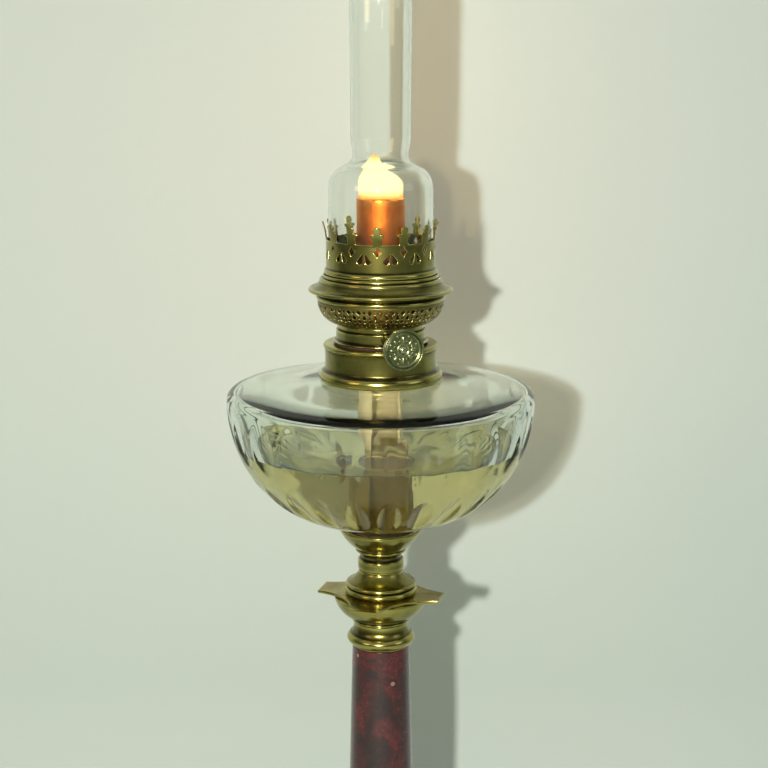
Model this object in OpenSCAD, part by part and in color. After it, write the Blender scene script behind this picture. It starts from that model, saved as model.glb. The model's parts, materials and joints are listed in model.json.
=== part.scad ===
// Oil table lamp: a marble column on a square brass foot carries a cut-glass oil
// font with a round-wick burner, a pierced gallery and a tall glass chimney.
// Millimetres, +Z up, origin at the middle of the felt that the lamp stands on.
// The front of the lamp, where the winder knob is, looks along -Y.

/* [Foot] */
// Width of the square brass foot
foot_w = 146; // [130:1:152]
// Height of the brass foot
foot_h = 22; // [18:1:30]
// Height of the foot's plain edge
foot_edge_h = 6; // [4:0.5:8]
// Wall of the hollow casting
foot_wall = 3; // [2:0.5:5]
// Thickness of the felt pad
felt_t = 1.5; // [1:0.5:4]
// How far the felt lies inside the foot's edge
felt_inset = 2; // [1:0.5:6]
// Radius of the hole in the felt through which the nut is reached
felt_hole_r = 22; // [16:1:40]
// Width of the square marble block
plinth_w = 98; // [84:1:104]
// Height of the marble block
plinth_h = 22; // [14:1:30]
// Chamfer along the block's edges
plinth_chamfer = 1.5; // [0.5:0.5:3]
// Radius of the turned base of the column
moulding_r = 31; // [27:0.5:36]
// Height of the turned base
moulding_h = 15; // [12:0.5:22]

/* [Column] */
// Length of the marble column
column_h = 185.5; // [120:0.5:260]
// Radius at its foot
column_foot_r = 18.2; // [16:0.1:22]
// Radius at its top
column_top_r = 14.7; // [12.5:0.1:15.5]
// How much the swelling gathers towards the top, where 1 is a straight taper
column_swell = 1.4; // [1:0.1:2]

/* [Capital] */
// Height of the torus ring on the column
ring_h = 13; // [11:0.5:16]
// Radius of that torus
ring_torus_r = 17.5; // [16.5:0.1:20]
// Radius of the necking above the torus
necking_r = 14; // [12.5:0.1:15]
// Height of the bowl under the plate
bowl_h = 13.5; // [10:0.5:18]
// Radius of the bowl's rim
bowl_rim_r = 23.8; // [20:0.1:26]
// Thickness of the square plate
plate_t = 1.5; // [1:0.1:3]
// Distance from the axis to the plate's cut corners
plate_reach = 31.8; // [30:0.1:36]
// Length of each corner cut
plate_corner = 14; // [8:0.5:16]
// Distance from the axis to the middle of each hollowed side
plate_waist = 21.5; // [20:0.1:24]
// Turn of the plate about the axis
plate_turn = 29; // [0:1:89]
// Radius of the double ring on the plate
cap_ring_r = 18.4; // [16:0.1:19.5]
// Height of the lower of the two rings
cap_ring_h = 3.7; // [2.5:0.1:5]
// Height of the bell above the rings
bell_h = 8.5; // [6:0.1:12]

/* [Stem and cup] */
// Radius of the stem's plain band
band_r = 11.7; // [11:0.1:13.5]
// Height of the band
band_h = 5.4; // [3:0.1:8]
// Height of the whole stem
stem_h = 11.5; // [10:0.1:18]
// Radius of the lip where the cup stands on the stem
stem_lip_r = 13; // [12:0.1:15]
// Radius of the cup's rim
cup_r = 20.8; // [19:0.1:24]
// Height of the cup
cup_h = 10.8; // [9:0.1:15]
// Wall of the cup
cup_wall = 1.4; // [1:0.1:2]

/* [Tie rod] */
// Radius of the threaded rod through the stand
rod_r = 3; // [2.5:0.25:4]
// Space round the rod in the pieces that it passes
rod_play = 0.4; // [0.2:0.1:1]
// Width across the corners of the nuts
nut_w = 11.5; // [10:0.5:13]
// Height of the nuts
nut_h = 4; // [3:0.5:4.5]
// Radius of the washer under the foot
washer_r = 14; // [10:1:20]
// Thickness of the washer
washer_t = 1.5; // [1:0.5:2.5]

/* [Glass font] */
// Widest radius of the font
font_r = 77.1; // [72:0.1:86]
// Height from the underside to the widest part
font_body_h = 62.5; // [56:0.5:78]
// Radius where the curved underside begins
font_flat_r = 21; // [21:0.5:26]
// Height from the widest part to the top edge
font_shoulder_h = 4.4; // [3:0.1:8]
// How far the top edge lies inside the widest part
font_shoulder_in = 3.1; // [2:0.1:6]
// Rise of the top face from its edge to the collar
font_rise = 5.1; // [3:0.1:9]
// Wall of the glass
font_wall = 4.5; // [3.5:0.1:6]
// Thickness of the glass bottom
font_floor = 6; // [4:0.5:9]
// Depth of the glass foot in the cup
font_foot_h = 4; // [3:0.5:5]
// Height of the glass foot above the cup
font_stub_h = 5; // [2:0.5:7]
// Number of cuts round the font
cut_count = 24; // [16:1:28]
// Depth of the tall upper cuts
high_cut_depth = 1.5; // [0.8:0.1:2]
// Radius of the wheel that makes the upper cuts
high_wheel_r = 32; // [20:1:40]
// Depth of the lower cuts
low_cut_depth = 1.7; // [0.8:0.1:2]
// Radius of the wheel that makes the lower cuts
low_wheel_r = 11; // [8:0.5:14]
// Height of the oil above the font's underside
oil_h = 40; // [20:1:52]

/* [Collar] */
// Radius of the collar's wall
collar_r = 27.9; // [26:0.1:30]
// Height of the collar
collar_h = 18.7; // [16:0.1:24]
// Radius of the ring at the collar's foot
collar_ring_r = 30.7; // [30:0.1:33]
// Sheet thickness of the collar
collar_sheet = 0.8; // [0.6:0.1:1.2]
// Radius of the threaded mouth
thread_r = 18.1; // [17:0.1:19]
// Depth of the threaded mouth
thread_h = 9.5; // [7:0.5:12]
// Thickness of the cement round the glass neck
cement_t = 2.6; // [1.5:0.1:3]

/* [Burner] */
// Clearance of the burner's thread in the collar
thread_play = 0.3; // [0.2:0.05:0.5]
// Thickness of the gasket ring
gasket_t = 0.8; // [0.5:0.1:2]
// Radius of the lip that rests on the gasket
lip_r = 23.7; // [23:0.1:25]
// Radius of the burner's banded neck
neck_r = 22.2; // [21.5:0.1:23]
// Height of the neck
neck_h = 9.4; // [8.6:0.1:12]
// Thickness of the burner's floor
floor_t = 1.2; // [0.8:0.1:1.4]
// Sheet thickness of the spun brass
sheet = 0.7; // [0.5:0.1:0.9]
// Height of the pierced basket
basket_h = 11.8; // [10:0.1:15]
// Radius at the top of the basket
basket_top_r = 31.4; // [30:0.1:34]
// Holes in one row of the basket
basket_holes = 36; // [24:1:40]
// Radius of those holes
basket_hole_r = 1; // [0.6:0.1:1.2]
// Radius of the flange's rim
flange_r = 35.8; // [34:0.1:40]
// Height of the flange
flange_h = 12.6; // [11:0.1:16]

/* [Gallery] */
// Clearance between the chimney and the gallery
chimney_play = 0.5; // [0.3:0.1:0.8]
// Height from the bead to the foot of the prongs
wall_h = 14.5; // [13:0.5:18]
// Height of the prongs
prong_h = 8.7; // [7:0.1:11]
// Number of prongs
prong_count = 13; // [10:1:14]
// Direction of the first prong, from the front
prong_turn = -3.7; // [-14:0.1:14]
// How far the tips bend outwards
prong_bend = 1.9; // [1:0.1:3]
// Width of the ledge that carries the chimney
ledge_w = 3.8; // [3:0.1:4.5]

/* [Wick and tubes] */
// Outer radius of the wick tube
tube_r = 11.9; // [11.5:0.1:13]
// Height of the wick tube above the burner's floor
tube_h = 70.8; // [66:0.1:76]
// Length of the wick tube below the burner's floor
tube_drop = 7.4; // [5:0.1:9]
// Wall of the tubes
tube_wall = 0.5; // [0.4:0.1:0.6]
// Thickness of the wick
wick_t = 1.4; // [1:0.1:1.6]
// Clearance on each side of the wick
wick_play = 0.3; // [0.25:0.05:0.4]
// How far the wick stands out of its tube
wick_show = 1; // [0.5:0.1:2]
// Clearance between the wick's tail and the font's floor
tail_gap = 12; // [9:1:30]
// Gap angle of the wick beside the winder
wick_gap = 84; // [80:1:90]
// Height of the air duct above the burner's floor
duct_z = 20; // [19:0.5:26]
// Height of the air duct
duct_h = 8; // [6:0.5:9]
// Width of the air duct
duct_w = 8; // [6:0.5:9]

/* [Winder] */
// Direction of the winder, to the right of the front
spindle_turn = 18; // [10:1:24]
// Sideways offset of the spindle from the axis
spindle_offset = -4.2; // [-4.6:0.1:-3.8]
// Radius of the spindle
spindle_r = 1.5; // [1.25:0.05:1.6]
// Running clearance of the spindle in its sleeve
spindle_play = 0.05; // [0.02:0.01:0.08]
// Distance from the axis to the back of the knob
knob_reach = 46.2; // [42:0.1:56]
// Radius of the knob
knob_r = 10; // [8:0.1:12]
// Thickness of the knob
knob_t = 2.6; // [2:0.1:4]
// Radius of the rivet that holds the knob
rivet_r = 1.9; // [1.8:0.1:2.4]
// Raised petals on the knob's face
knob_petals = 8; // [5:1:12]
// Teeth on each wheel
wheel_teeth = 14; // [10:1:18]
// Thickness of each toothed wheel
wheel_t = 1; // [0.6:0.1:1.4]

/* [Chimney] */
// Outer radius of the lower cylinder
bulb_r = 25.8; // [25:0.1:27]
// Height of the straight part of that cylinder
bulb_h = 38; // [34:0.5:44]
// Radius of the pinched neck
pinch_r = 13.4; // [13:0.1:14.5]
// Radius of the tube above the neck
flue_r = 14.7; // [14.2:0.1:16]
// Radius of the tube at its top
flue_top_r = 16; // [15:0.1:18]
// Height of the whole chimney
chimney_h = 265; // [220:1:300]
// Wall of the chimney glass
chimney_wall = 1.6; // [1.2:0.1:2]

/* [Hidden] */
round_fn = 96;
seat_gap = 0.2;
soft_gap = 0.1;
through = 1;

brass = "#8A7A35";
dark_brass = "#6B5F2A";
marble = "#4A0A10";
steel = "#8C8C8C";
glass = [0.85, 0.92, 0.88, 0.35];
oil = [0.72, 0.70, 0.38, 0.6];
cement = "#D8D2C0";
cotton = "#E8E2CC";
felt = "#2F4A38";

// Heights of the pieces, from the table upward
foot_z = felt_t;
plinth_z = foot_z + foot_h;
moulding_z = plinth_z + plinth_h;
column_z = moulding_z + moulding_h;
ring_z = column_z + column_h;
bowl_z = ring_z + ring_h;
plate_z = bowl_z + bowl_h;
cap_z = plate_z + plate_t;
cap_h = cap_ring_h + bell_h;
stem_z = cap_z + cap_h;
cup_z = stem_z + stem_h;
font_z = cup_z + cup_h + seat_gap + font_stub_h;
font_wide_z = font_z + font_body_h;
font_edge_z = font_wide_z + font_shoulder_h;
collar_z = font_edge_z + font_rise;
gasket_z = collar_z + collar_h;
burner_z = gasket_z + gasket_t;
basket_z = burner_z + neck_h;
flange_z = basket_z + basket_h;
gallery_z = flange_z + flange_h;
tube_top_z = burner_z + tube_h;

// Radii that one piece takes from another
bore_r = rod_r + rod_play;
bell_foot_r = cap_ring_r - 0.9;
groove_r = band_r - 0.8;
cup_in_r = cup_r - cup_wall;
font_foot_r = cup_in_r - 0.9;
cup_floor_t = 2;
font_edge_r = font_r - font_shoulder_in;
neck_out_r = collar_r - collar_sheet - cement_t;
sleeve_wall = 1.2;
mouth_r = thread_r + sleeve_wall;
neck_in_r = mouth_r + seat_gap;
skirt_r = thread_r - thread_play;
skirt_wall = 1.2;
basket_foot_r = neck_r - 1.3;
flange_top_r = bulb_r + chimney_play + sheet + 1.2;
gallery_in_r = bulb_r + chimney_play;
gallery_r = gallery_in_r + sheet;
bead_h = 2.6;
ledge_t = 0.6;
seat_z = gallery_z + bead_h + ledge_t;
wick_out_r = tube_r - tube_wall - wick_play;
wick_in_r = wick_out_r - wick_t;
draught_r = wick_in_r - wick_play;

// Winder: the wheels reach the inside of the wick
spindle_z = burner_z + floor_t + 2.9;
sleeve_r = 2.6;
neck_in_wall_r = neck_r - 1.6;
sleeve_in = sqrt(pow(neck_in_wall_r, 2) - pow(spindle_offset, 2)) + 0.6;
sleeve_stand = 8.8;
sleeve_out = neck_r + sleeve_stand;
knob_face = 0.55 * knob_t;
wheel_far = 3;
wheel_r = sqrt(pow(wick_in_r, 2) - pow(wheel_far, 2)) - wick_play + spindle_offset;

// Wick: a split sleeve from the font's floor to just above the tube
tail_z = font_z + font_floor + tail_gap;
wick_top_z = tube_top_z + wick_show;
wick_drop = 6;
gap_top_z = burner_z + floor_t + duct_z + duct_h + wick_drop + 2;
closed_gap = 8;

// Points from a to b along a bow that stands sag to the right of the way
function bow(a, b, sag, steps = 8) =
    let (way = b - a, side = [way.y, -way.x] / norm(way))
    [for (i = [0:steps]) let (t = i / steps) a + way * t + side * 4 * sag * t * (1 - t)];

// The same outline moved inwards by the thickness of a sheet
function lining(outline, thickness) =
    let (last = len(outline) - 1)
    [for (i = [0:last])
        let (way = outline[min(i + 1, last)] - outline[max(i - 1, 0)])
        outline[i] + thickness * [-way.y, way.x] / norm(way)];

function backwards(list) = [for (i = [len(list) - 1:-1:0]) list[i]];

// Radius of the column at a share t of its height
function column_radius(t) =
    column_top_r + (column_foot_r - column_top_r) * (1 - pow(t, column_swell));

// A solid turned from an outline of [radius, height] points, with a bore
module turned(outline, bore) {
    foot = outline[0].y;
    head = outline[len(outline) - 1].y;
    rotate_extrude($fn = round_fn)
        polygon(concat([[bore, foot]], outline, [[bore, head]]));
}

// A shell spun from sheet, whose outside is the outline
module spun(outline, thickness) {
    rotate_extrude($fn = round_fn)
        polygon(concat(outline, backwards(lining(outline, thickness))));
}

// A square block whose four sides carry one moulding of [half width, height]
module square_moulding(outline) {
    mirrored = [for (p = backwards(outline)) [-p.x, p.y]];
    span = 2 * max([for (p = outline) p.x]) + through;
    intersection() {
        rotate([90, 0, 0]) linear_extrude(span, center = true)
            polygon(concat(outline, mirrored));
        rotate([90, 0, 90]) linear_extrude(span, center = true)
            polygon(concat(outline, mirrored));
    }
}

// A straight hole for the tie rod, from height a to height b
module rod_hole(a, b) {
    translate([0, 0, a - through])
        cylinder(h = b - a + 2 * through, r = bore_r, $fn = 48);
}

// A hexagon nut on the rod, standing on height z
module nut(z) {
    color(steel) translate([0, 0, z]) difference() {
        cylinder(h = nut_h, d = nut_w, $fn = 6);
        translate([0, 0, -through])
            cylinder(h = nut_h + 2 * through, r = rod_r + soft_gap, $fn = 48);
    }
}

// Copies n times round the axis, the first in direction turn from the front
module around(n, turn = 0) {
    for (i = [0:n - 1]) rotate([0, 0, turn - 90 + 360 * i / n]) children();
}

// Lays a shape made along +Z on the winder's line, z counted from the axis
module on_spindle() {
    translate([0, 0, spindle_z]) rotate([0, 0, spindle_turn - 90])
        translate([0, spindle_offset, 0]) rotate([0, 90, 0]) children();
}

// A flat outline of [sideways, height] set up as a prism that points outwards
module outward_prism(from, to) {
    translate([from, 0, 0]) rotate([90, 0, 90]) linear_extrude(to - from) children();
}

module base_felt() {
    w = foot_w - 2 * felt_inset;
    color(felt) difference() {
        translate([-w / 2, -w / 2, 0]) cube([w, w, felt_t]);
        translate([0, 0, -through]) cylinder(h = felt_t + 2 * through, r = felt_hole_r, $fn = round_fn);
    }
}

module base_foot() {
    half = foot_w / 2;
    top_half = plinth_w / 2 + 3;
    tread_half = half - 3;
    step_z = foot_edge_h + 1.5;
    rise_z = foot_h - 3.5;
    outline = concat(
        [[half - 0.6, 0], [half, 0.6], [half, foot_edge_h - 0.6], [half - 0.6, foot_edge_h]],
        [[tread_half, foot_edge_h], [tread_half, step_z]],
        bow([tread_half - 1, step_z], [(tread_half + top_half) / 2, (step_z + rise_z) / 2], 1.2, 5),
        bow([(tread_half + top_half) / 2, (step_z + rise_z) / 2], [top_half + 1.5, rise_z], -1.2, 5),
        [[top_half + 1.5, rise_z + 1], [top_half, rise_z + 1], [top_half, foot_h - 0.5],
         [top_half - 0.5, foot_h]]
    );
    hollow_half = top_half - foot_wall;
    color(brass) translate([0, 0, foot_z]) difference() {
        square_moulding(outline);
        translate([-hollow_half, -hollow_half, -through])
            cube([2 * hollow_half, 2 * hollow_half, foot_h - foot_wall + through]);
        rod_hole(0, foot_h);
    }
}

module plinth_block() {
    half = plinth_w / 2;
    c = plinth_chamfer;
    outline = [[half - c, 0], [half, c], [half, plinth_h - c], [half - c, plinth_h]];
    color(marble) translate([0, 0, plinth_z]) difference() {
        square_moulding(outline);
        rod_hole(0, plinth_h);
    }
}

module base_moulding() {
    torus_h = moulding_h * 0.36;
    upper_h = moulding_h * 0.24;
    fillet = moulding_h * 0.07;
    upper_r = column_foot_r + 5;
    waist_r = column_foot_r + 3;
    upper_z = moulding_h - fillet - upper_h;
    torus_r = moulding_r - torus_h / 2;
    outline = concat(
        bow([torus_r, 0], [torus_r, torus_h], torus_h / 2, 8),
        [[torus_r - 1.5, torus_h + fillet]],
        bow([waist_r + 3, torus_h + fillet], [waist_r + 1, upper_z - fillet], -1.6, 6),
        [[upper_r, upper_z - fillet], [upper_r, upper_z]],
        bow([upper_r, upper_z], [upper_r, upper_z + upper_h], upper_h / 2, 8),
        [[column_foot_r + 1.2, upper_z + upper_h], [column_foot_r + 1.2, moulding_h]]
    );
    color(brass) translate([0, 0, moulding_z]) turned(outline, bore_r);
}

module column() {
    steps = 16;
    outline = [for (i = [0:steps]) [column_radius(i / steps), column_h * i / steps]];
    color(marble) translate([0, 0, column_z]) turned(outline, bore_r);
}

module capital_ring() {
    bead_r = column_top_r;
    torus_h = ring_h * 0.4;
    low = ring_h * 0.12;
    outline = concat(
        bow([bead_r - 0.3, 0], [bead_r + 0.4, low], 0.3, 4),
        bow([ring_torus_r - 1.5, low], [ring_torus_r - 1.6, low + torus_h], 1.5, 10),
        bow([ring_torus_r - 2, low + torus_h], [necking_r, ring_h - 1.5], -0.5, 6),
        [[necking_r, ring_h]]
    );
    color(brass) translate([0, 0, ring_z]) turned(outline, bore_r);
}

module capital_bowl() {
    lip_h = 1.2;
    outline = concat(
        [[necking_r - 0.4, 0], [necking_r - 0.4, 0.4]],
        bow([necking_r + 0.6, 0.4], [necking_r + 0.6, lip_h + 0.4], 0.4, 4),
        bow([necking_r + 0.4, lip_h + 0.6], [bowl_rim_r, bowl_h - 1.2], 1.7, 10),
        [[bowl_rim_r, bowl_h - 0.3], [bowl_rim_r - 0.3, bowl_h]]
    );
    color(brass) translate([0, 0, bowl_z]) turned(outline, bore_r);
}

module abacus_plate() {
    // Ends of the corner cuts lie at (far, near) and (near, far)
    far = (plate_reach + plate_corner / 2) / sqrt(2);
    near = (plate_reach - plate_corner / 2) / sqrt(2);
    sag = far - plate_waist;
    side_r = (pow(near, 2) + pow(sag, 2)) / (2 * sag);
    color(brass) translate([0, 0, plate_z]) rotate([0, 0, plate_turn])
        linear_extrude(plate_t) difference() {
            polygon([for (q = [0:3], p = [[far, near], [near, far]])
                [p.x * cos(90 * q) - p.y * sin(90 * q), p.x * sin(90 * q) + p.y * cos(90 * q)]]);
            for (q = [0:3]) rotate(90 * q)
                translate([plate_waist + side_r, 0]) circle(r = side_r, $fn = round_fn);
            circle(r = bore_r, $fn = 48);
        }
}

module capital_cap() {
    gap = 0.4;
    lip_h = 1.9;
    lip_z = cap_ring_h + gap;
    outline = concat(
        [[cap_ring_r - 1.2, 0]],
        bow([cap_ring_r - 0.9, 0.3], [cap_ring_r - 0.9, cap_ring_h - 0.3], 0.9, 8),
        [[cap_ring_r - 1.6, cap_ring_h], [cap_ring_r - 1.6, lip_z]],
        bow([bell_foot_r, lip_z], [bell_foot_r, lip_z + lip_h], 0.5, 6),
        bow([bell_foot_r - 0.6, lip_z + lip_h], [groove_r + 0.4, cap_h - 0.6], -0.7, 8),
        [[groove_r + 0.4, cap_h]]
    );
    color(brass) translate([0, 0, cap_z]) turned(outline, bore_r);
}

module font_stem() {
    groove_h = 0.8;
    band_z = groove_h + band_h;
    waist_r = band_r - 1.3;
    outline = concat(
        [[groove_r, 0], [groove_r, groove_h], [band_r - 0.3, groove_h], [band_r, groove_h + 0.5]],
        [[band_r, band_z - 0.5], [band_r - 0.4, band_z], [waist_r, band_z + 0.2]],
        bow([waist_r, band_z + 0.8], [stem_lip_r - 0.4, stem_h - 1.1], -0.5, 6),
        bow([stem_lip_r - 0.2, stem_h - 1.1], [stem_lip_r - 0.2, stem_h], 0.2, 4)
    );
    color(brass) translate([0, 0, stem_z]) turned(outline, bore_r);
}

module font_cup() {
    outside = concat(
        [[stem_lip_r - 0.6, 0]],
        bow([stem_lip_r - 0.2, 0.3], [cup_r - 0.3, cup_h - 1.6], 0.7, 8),
        [[cup_r, cup_h - 1.3], [cup_r, cup_h - 0.3], [cup_r - 0.3, cup_h]]
    );
    inside = [[cup_in_r, cup_h], [cup_in_r, cup_h - 3.2],
              [stem_lip_r - 1.4, cup_floor_t], [bore_r, cup_floor_t]];
    color(brass) translate([0, 0, cup_z]) rotate_extrude($fn = round_fn)
        polygon(concat([[bore_r, 0]], outside, inside));
}

// Clamps the stand: from inside the hollow foot to the nut in the cup
module tie_rod() {
    low = foot_z + foot_h - foot_wall - washer_t - nut_h - 1.5;
    high = cup_z + cup_floor_t + nut_h + 0.4;
    color(steel) translate([0, 0, low]) cylinder(h = high - low, r = rod_r, $fn = 48);
}

module foot_washer() {
    color(steel) translate([0, 0, foot_z + foot_h - foot_wall - washer_t])
        turned([[washer_r, 0], [washer_r, washer_t]], rod_r + soft_gap);
}

module foot_nut() {
    nut(foot_z + foot_h - foot_wall - washer_t - nut_h);
}

module cup_nut() {
    nut(cup_z + cup_floor_t);
}

// Cement that fills the cup under and around the glass foot
module cup_plaster() {
    foot_at = cup_h + seat_gap - font_foot_h;
    color(cement) translate([0, 0, cup_z]) difference() {
        rotate_extrude($fn = round_fn)
            polygon([[0, cup_floor_t], [stem_lip_r - 1.4, cup_floor_t], [cup_in_r, cup_h - 3.2],
                     [cup_in_r, cup_h - 0.4], [font_foot_r, cup_h - 0.4], [font_foot_r, foot_at],
                     [0, foot_at]]);
        translate([0, 0, cup_floor_t - through])
            cylinder(h = nut_h + through, d = nut_w, $fn = 6);
        cylinder(h = cup_floor_t + nut_h + 0.4, r = rod_r, $fn = 48);
    }
}

// Curve of the font's body: share 0 is the widest part, share 1 the underside
function body_curve(r_wide, r_flat, z_wide, depth, steps) =
    [for (i = [0:steps]) let (a = 90 * (1 - i / steps))
        [r_flat + (r_wide - r_flat) * cos(a), z_wide - depth * sin(a)]];

// Height of the glass top face at radius r
function top_face_z(r) =
    collar_z - font_rise * (r - collar_ring_r) / (font_edge_r - collar_ring_r);

// Inside of the glass, from the floor up to the neck, drawn in by a gap
function font_inside(gap) = concat(
    [[0, font_z + font_floor + gap]],
    body_curve(font_r - font_wall - gap, font_flat_r, font_wide_z,
               font_body_h - font_floor - gap, 12),
    [[font_edge_r - font_wall + 1.5, top_face_z(font_edge_r) - font_wall + 1],
     [neck_in_r + 3, top_face_z(neck_in_r + 3) - font_wall],
     [neck_in_r, top_face_z(neck_in_r) - font_wall + 2]]
);

// One ground cut: a cylinder laid along the body where the curve's angle is a
module wheel_cut(a, depth, stone_r) {
    across = font_r - font_flat_r;
    tilt = atan2(across * sin(a), font_body_h * cos(a));
    stand_off = stone_r - depth;
    r = font_flat_r + across * cos(a) + stand_off * cos(tilt);
    z = font_wide_z - font_body_h * sin(a) - stand_off * sin(tilt);
    translate([r, 0, z]) rotate([0, tilt, 0])
        cylinder(h = font_body_h, r = stone_r, center = true, $fn = 48);
}

module font() {
    high_cut_a = 14;
    low_cut_a = 49;
    neck_top = collar_z + collar_h - collar_sheet - 1;
    foot_low = font_z - font_stub_h - font_foot_h;
    outside = concat(
        [[0, foot_low], [font_foot_r, foot_low], [font_foot_r, font_z]],
        body_curve(font_r, font_flat_r, font_wide_z, font_body_h, 16),
        bow([font_r, font_wide_z + 0.6], [font_edge_r, font_edge_z], 0.7, 4),
        [[collar_ring_r, collar_z], [neck_out_r, top_face_z(neck_out_r)]],
        [[neck_out_r, neck_top], [neck_in_r, neck_top]]
    );
    color(glass) difference() {
        rotate_extrude($fn = round_fn) polygon(concat(outside, backwards(font_inside(0))));
        around(cut_count, prong_turn) wheel_cut(high_cut_a, high_cut_depth, high_wheel_r);
        around(cut_count, prong_turn + 180 / cut_count)
            wheel_cut(low_cut_a, low_cut_depth, low_wheel_r);
    }
}

// The oil leaves a round well in which the wick's tail moves
module lamp_oil() {
    well_r = wick_out_r + 1.5;
    well_z = tail_z - wick_drop - 2;
    level = font_z + oil_h;
    color(oil) difference() {
        intersection() {
            rotate_extrude($fn = round_fn)
                polygon(concat(font_inside(soft_gap), [[0, collar_z]]));
            cylinder(h = level, r = font_r, $fn = round_fn);
        }
        translate([0, 0, well_z]) cylinder(h = level, r = well_r, $fn = 48);
    }
}

module collar_plaster() {
    top = collar_h - collar_sheet - 1;
    inner = collar_r - collar_sheet;
    color(cement) rotate_extrude($fn = round_fn)
        polygon([[neck_out_r, top_face_z(neck_out_r)], [inner, top_face_z(inner)],
                 [inner, collar_z + top], [neck_out_r, collar_z + top]]);
}

// Its lower edge lies on the sloping top face of the glass
module font_collar() {
    foot_h = 4.6;
    edge_r = collar_ring_r - 0.5;
    lining_r = collar_ring_r - 1.5;
    inner = collar_r - collar_sheet;
    outside = concat(
        [[edge_r, top_face_z(edge_r) - collar_z]],
        bow([collar_ring_r - 0.3, 0.4], [collar_ring_r - 0.3, foot_h - 0.8], 0.3, 6),
        bow([collar_ring_r - 0.8, foot_h], [collar_r, foot_h + 2], -0.5, 5),
        bow([collar_r, foot_h + 2.4], [collar_r + 0.1, collar_h - 2.6], -0.15, 4),
        bow([collar_r + 0.5, collar_h - 2], [collar_r + 0.5, collar_h - 0.4], 0.3, 5),
        [[collar_r, collar_h]]
    );
    inside = [[thread_r, collar_h], [thread_r, collar_h - thread_h], [mouth_r, collar_h - thread_h],
              [mouth_r, collar_h - collar_sheet], [inner, collar_h - collar_sheet],
              [inner, foot_h], [lining_r, foot_h - 1], [lining_r, top_face_z(lining_r) - collar_z]];
    color(brass) translate([0, 0, collar_z]) rotate_extrude($fn = round_fn)
        polygon(concat(outside, inside));
}

module gasket_ring() {
    color("#3A2A20") translate([0, 0, gasket_z])
        turned([[lip_r - 0.8, 0], [lip_r - 0.8, gasket_t]], skirt_r + thread_play);
}

// Threaded skirt, lip, floor and banded neck in one spun piece
module burner_base() {
    skirt_h = thread_h - 1;
    inner = neck_in_wall_r;
    top_r = neck_r - 0.7;
    hole_r = tube_r + 0.02;
    outline = [
        [skirt_r, -gasket_t - skirt_h], [skirt_r, 0], [lip_r - 0.3, 0], [lip_r, 0.3],
        [lip_r, 0.7], [lip_r - 0.4, 1], [neck_r, 1.3], [neck_r, neck_h - 3.2],
        [neck_r - 0.2, neck_h - 3], [neck_r - 1, neck_h - 2.9], [neck_r - 1, neck_h - 2.5],
        [top_r, neck_h - 2.3], [top_r, neck_h - 0.4], [top_r - 0.4, neck_h],
        [inner - 0.1, neck_h], [inner, floor_t], [hole_r, floor_t], [hole_r, 0],
        [skirt_r - skirt_wall, 0], [skirt_r - skirt_wall, -gasket_t - skirt_h]
    ];
    color(brass) difference() {
        translate([0, 0, burner_z]) rotate_extrude($fn = round_fn) polygon(outline);
        on_spindle() translate([0, 0, sleeve_in - 3])
            cylinder(h = sleeve_out - sleeve_in, r = sleeve_r, $fn = 48);
    }
}

module burner_basket() {
    across = basket_top_r - basket_foot_r;
    outline = [for (i = [0:10]) let (a = 90 * (1 - i / 10))
        [basket_foot_r + across * cos(a), basket_h * (1 - sin(a))]];
    color(dark_brass) translate([0, 0, basket_z]) difference() {
        spun(outline, sheet);
        for (row = [0:2])
            let (a = 20 + 22 * row, share = 1 - 0.02 * row)
            around(basket_holes, 180 / basket_holes * row)
                translate([basket_foot_r + across * cos(a), 0, basket_h * (1 - sin(a))])
                rotate([0, 90 + atan2(across * sin(a), basket_h * cos(a)), 0])
                cylinder(h = 5, r = basket_hole_r * share, center = true, $fn = 16);
    }
}

module burner_flange() {
    rim_z = 4.7;
    outline = concat(
        bow([basket_top_r, 0], [basket_top_r, 2.2], 0.6, 6),
        bow([basket_top_r + 0.3, 2.5], [flange_r, rim_z - 0.4], -0.3, 5),
        [[flange_r, rim_z + 0.4]],
        bow([flange_r - 0.6, rim_z + 1], [gallery_r + 3.6, flange_h - 4], -0.8, 6),
        bow([gallery_r + 3.3, flange_h - 3.6], [gallery_r + 2.8, flange_h - 1.9], 0.3, 4),
        bow([gallery_r + 1.6, flange_h - 1.6], [flange_top_r, flange_h], 0.3, 4)
    );
    color(brass) translate([0, 0, flange_z]) spun(outline, sheet);
}

// Pierced disc that spreads the air between wick tube and chimney
module air_diffuser() {
    thickness = 0.6;
    hole_r = 1.1;
    hole_pitch = 5.2;
    outer = flange_top_r - sheet;
    color(dark_brass) translate([0, 0, gallery_z - thickness]) difference() {
        turned([[outer, 0], [outer, thickness]], tube_r + 0.02);
        for (row = [1:3])
            let (r = tube_r + (outer - tube_r) * row / 4)
            around(round(2 * PI * r / hole_pitch)) translate([r, 0, -through])
                cylinder(h = thickness + 2 * through, r = hole_r, $fn = 16);
    }
}

// Outline of one prong, standing on the wall: stem, cross arms and round tip
module prong_shape() {
    stem_w = 4.4;
    stem_root = 0.5;
    arm_w = 6.6;
    arm_r = 0.8;
    arm_z = prong_h * 0.5;
    neck_w = 2.6;
    tip_r = 1.8;
    tip_z = prong_h - tip_r;
    translate([-stem_w / 2, -stem_root]) square([stem_w, arm_z + stem_root]);
    translate([arm_r - arm_w / 2, arm_z - arm_r]) square([arm_w - 2 * arm_r, 2 * arm_r]);
    for (side = [-1, 1]) translate([side * (arm_w / 2 - arm_r), arm_z]) circle(r = arm_r, $fn = 24);
    translate([-neck_w / 2, arm_z]) square([neck_w, tip_z - arm_z]);
    translate([0, tip_z]) circle(r = tip_r, $fn = 32);
}

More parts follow.
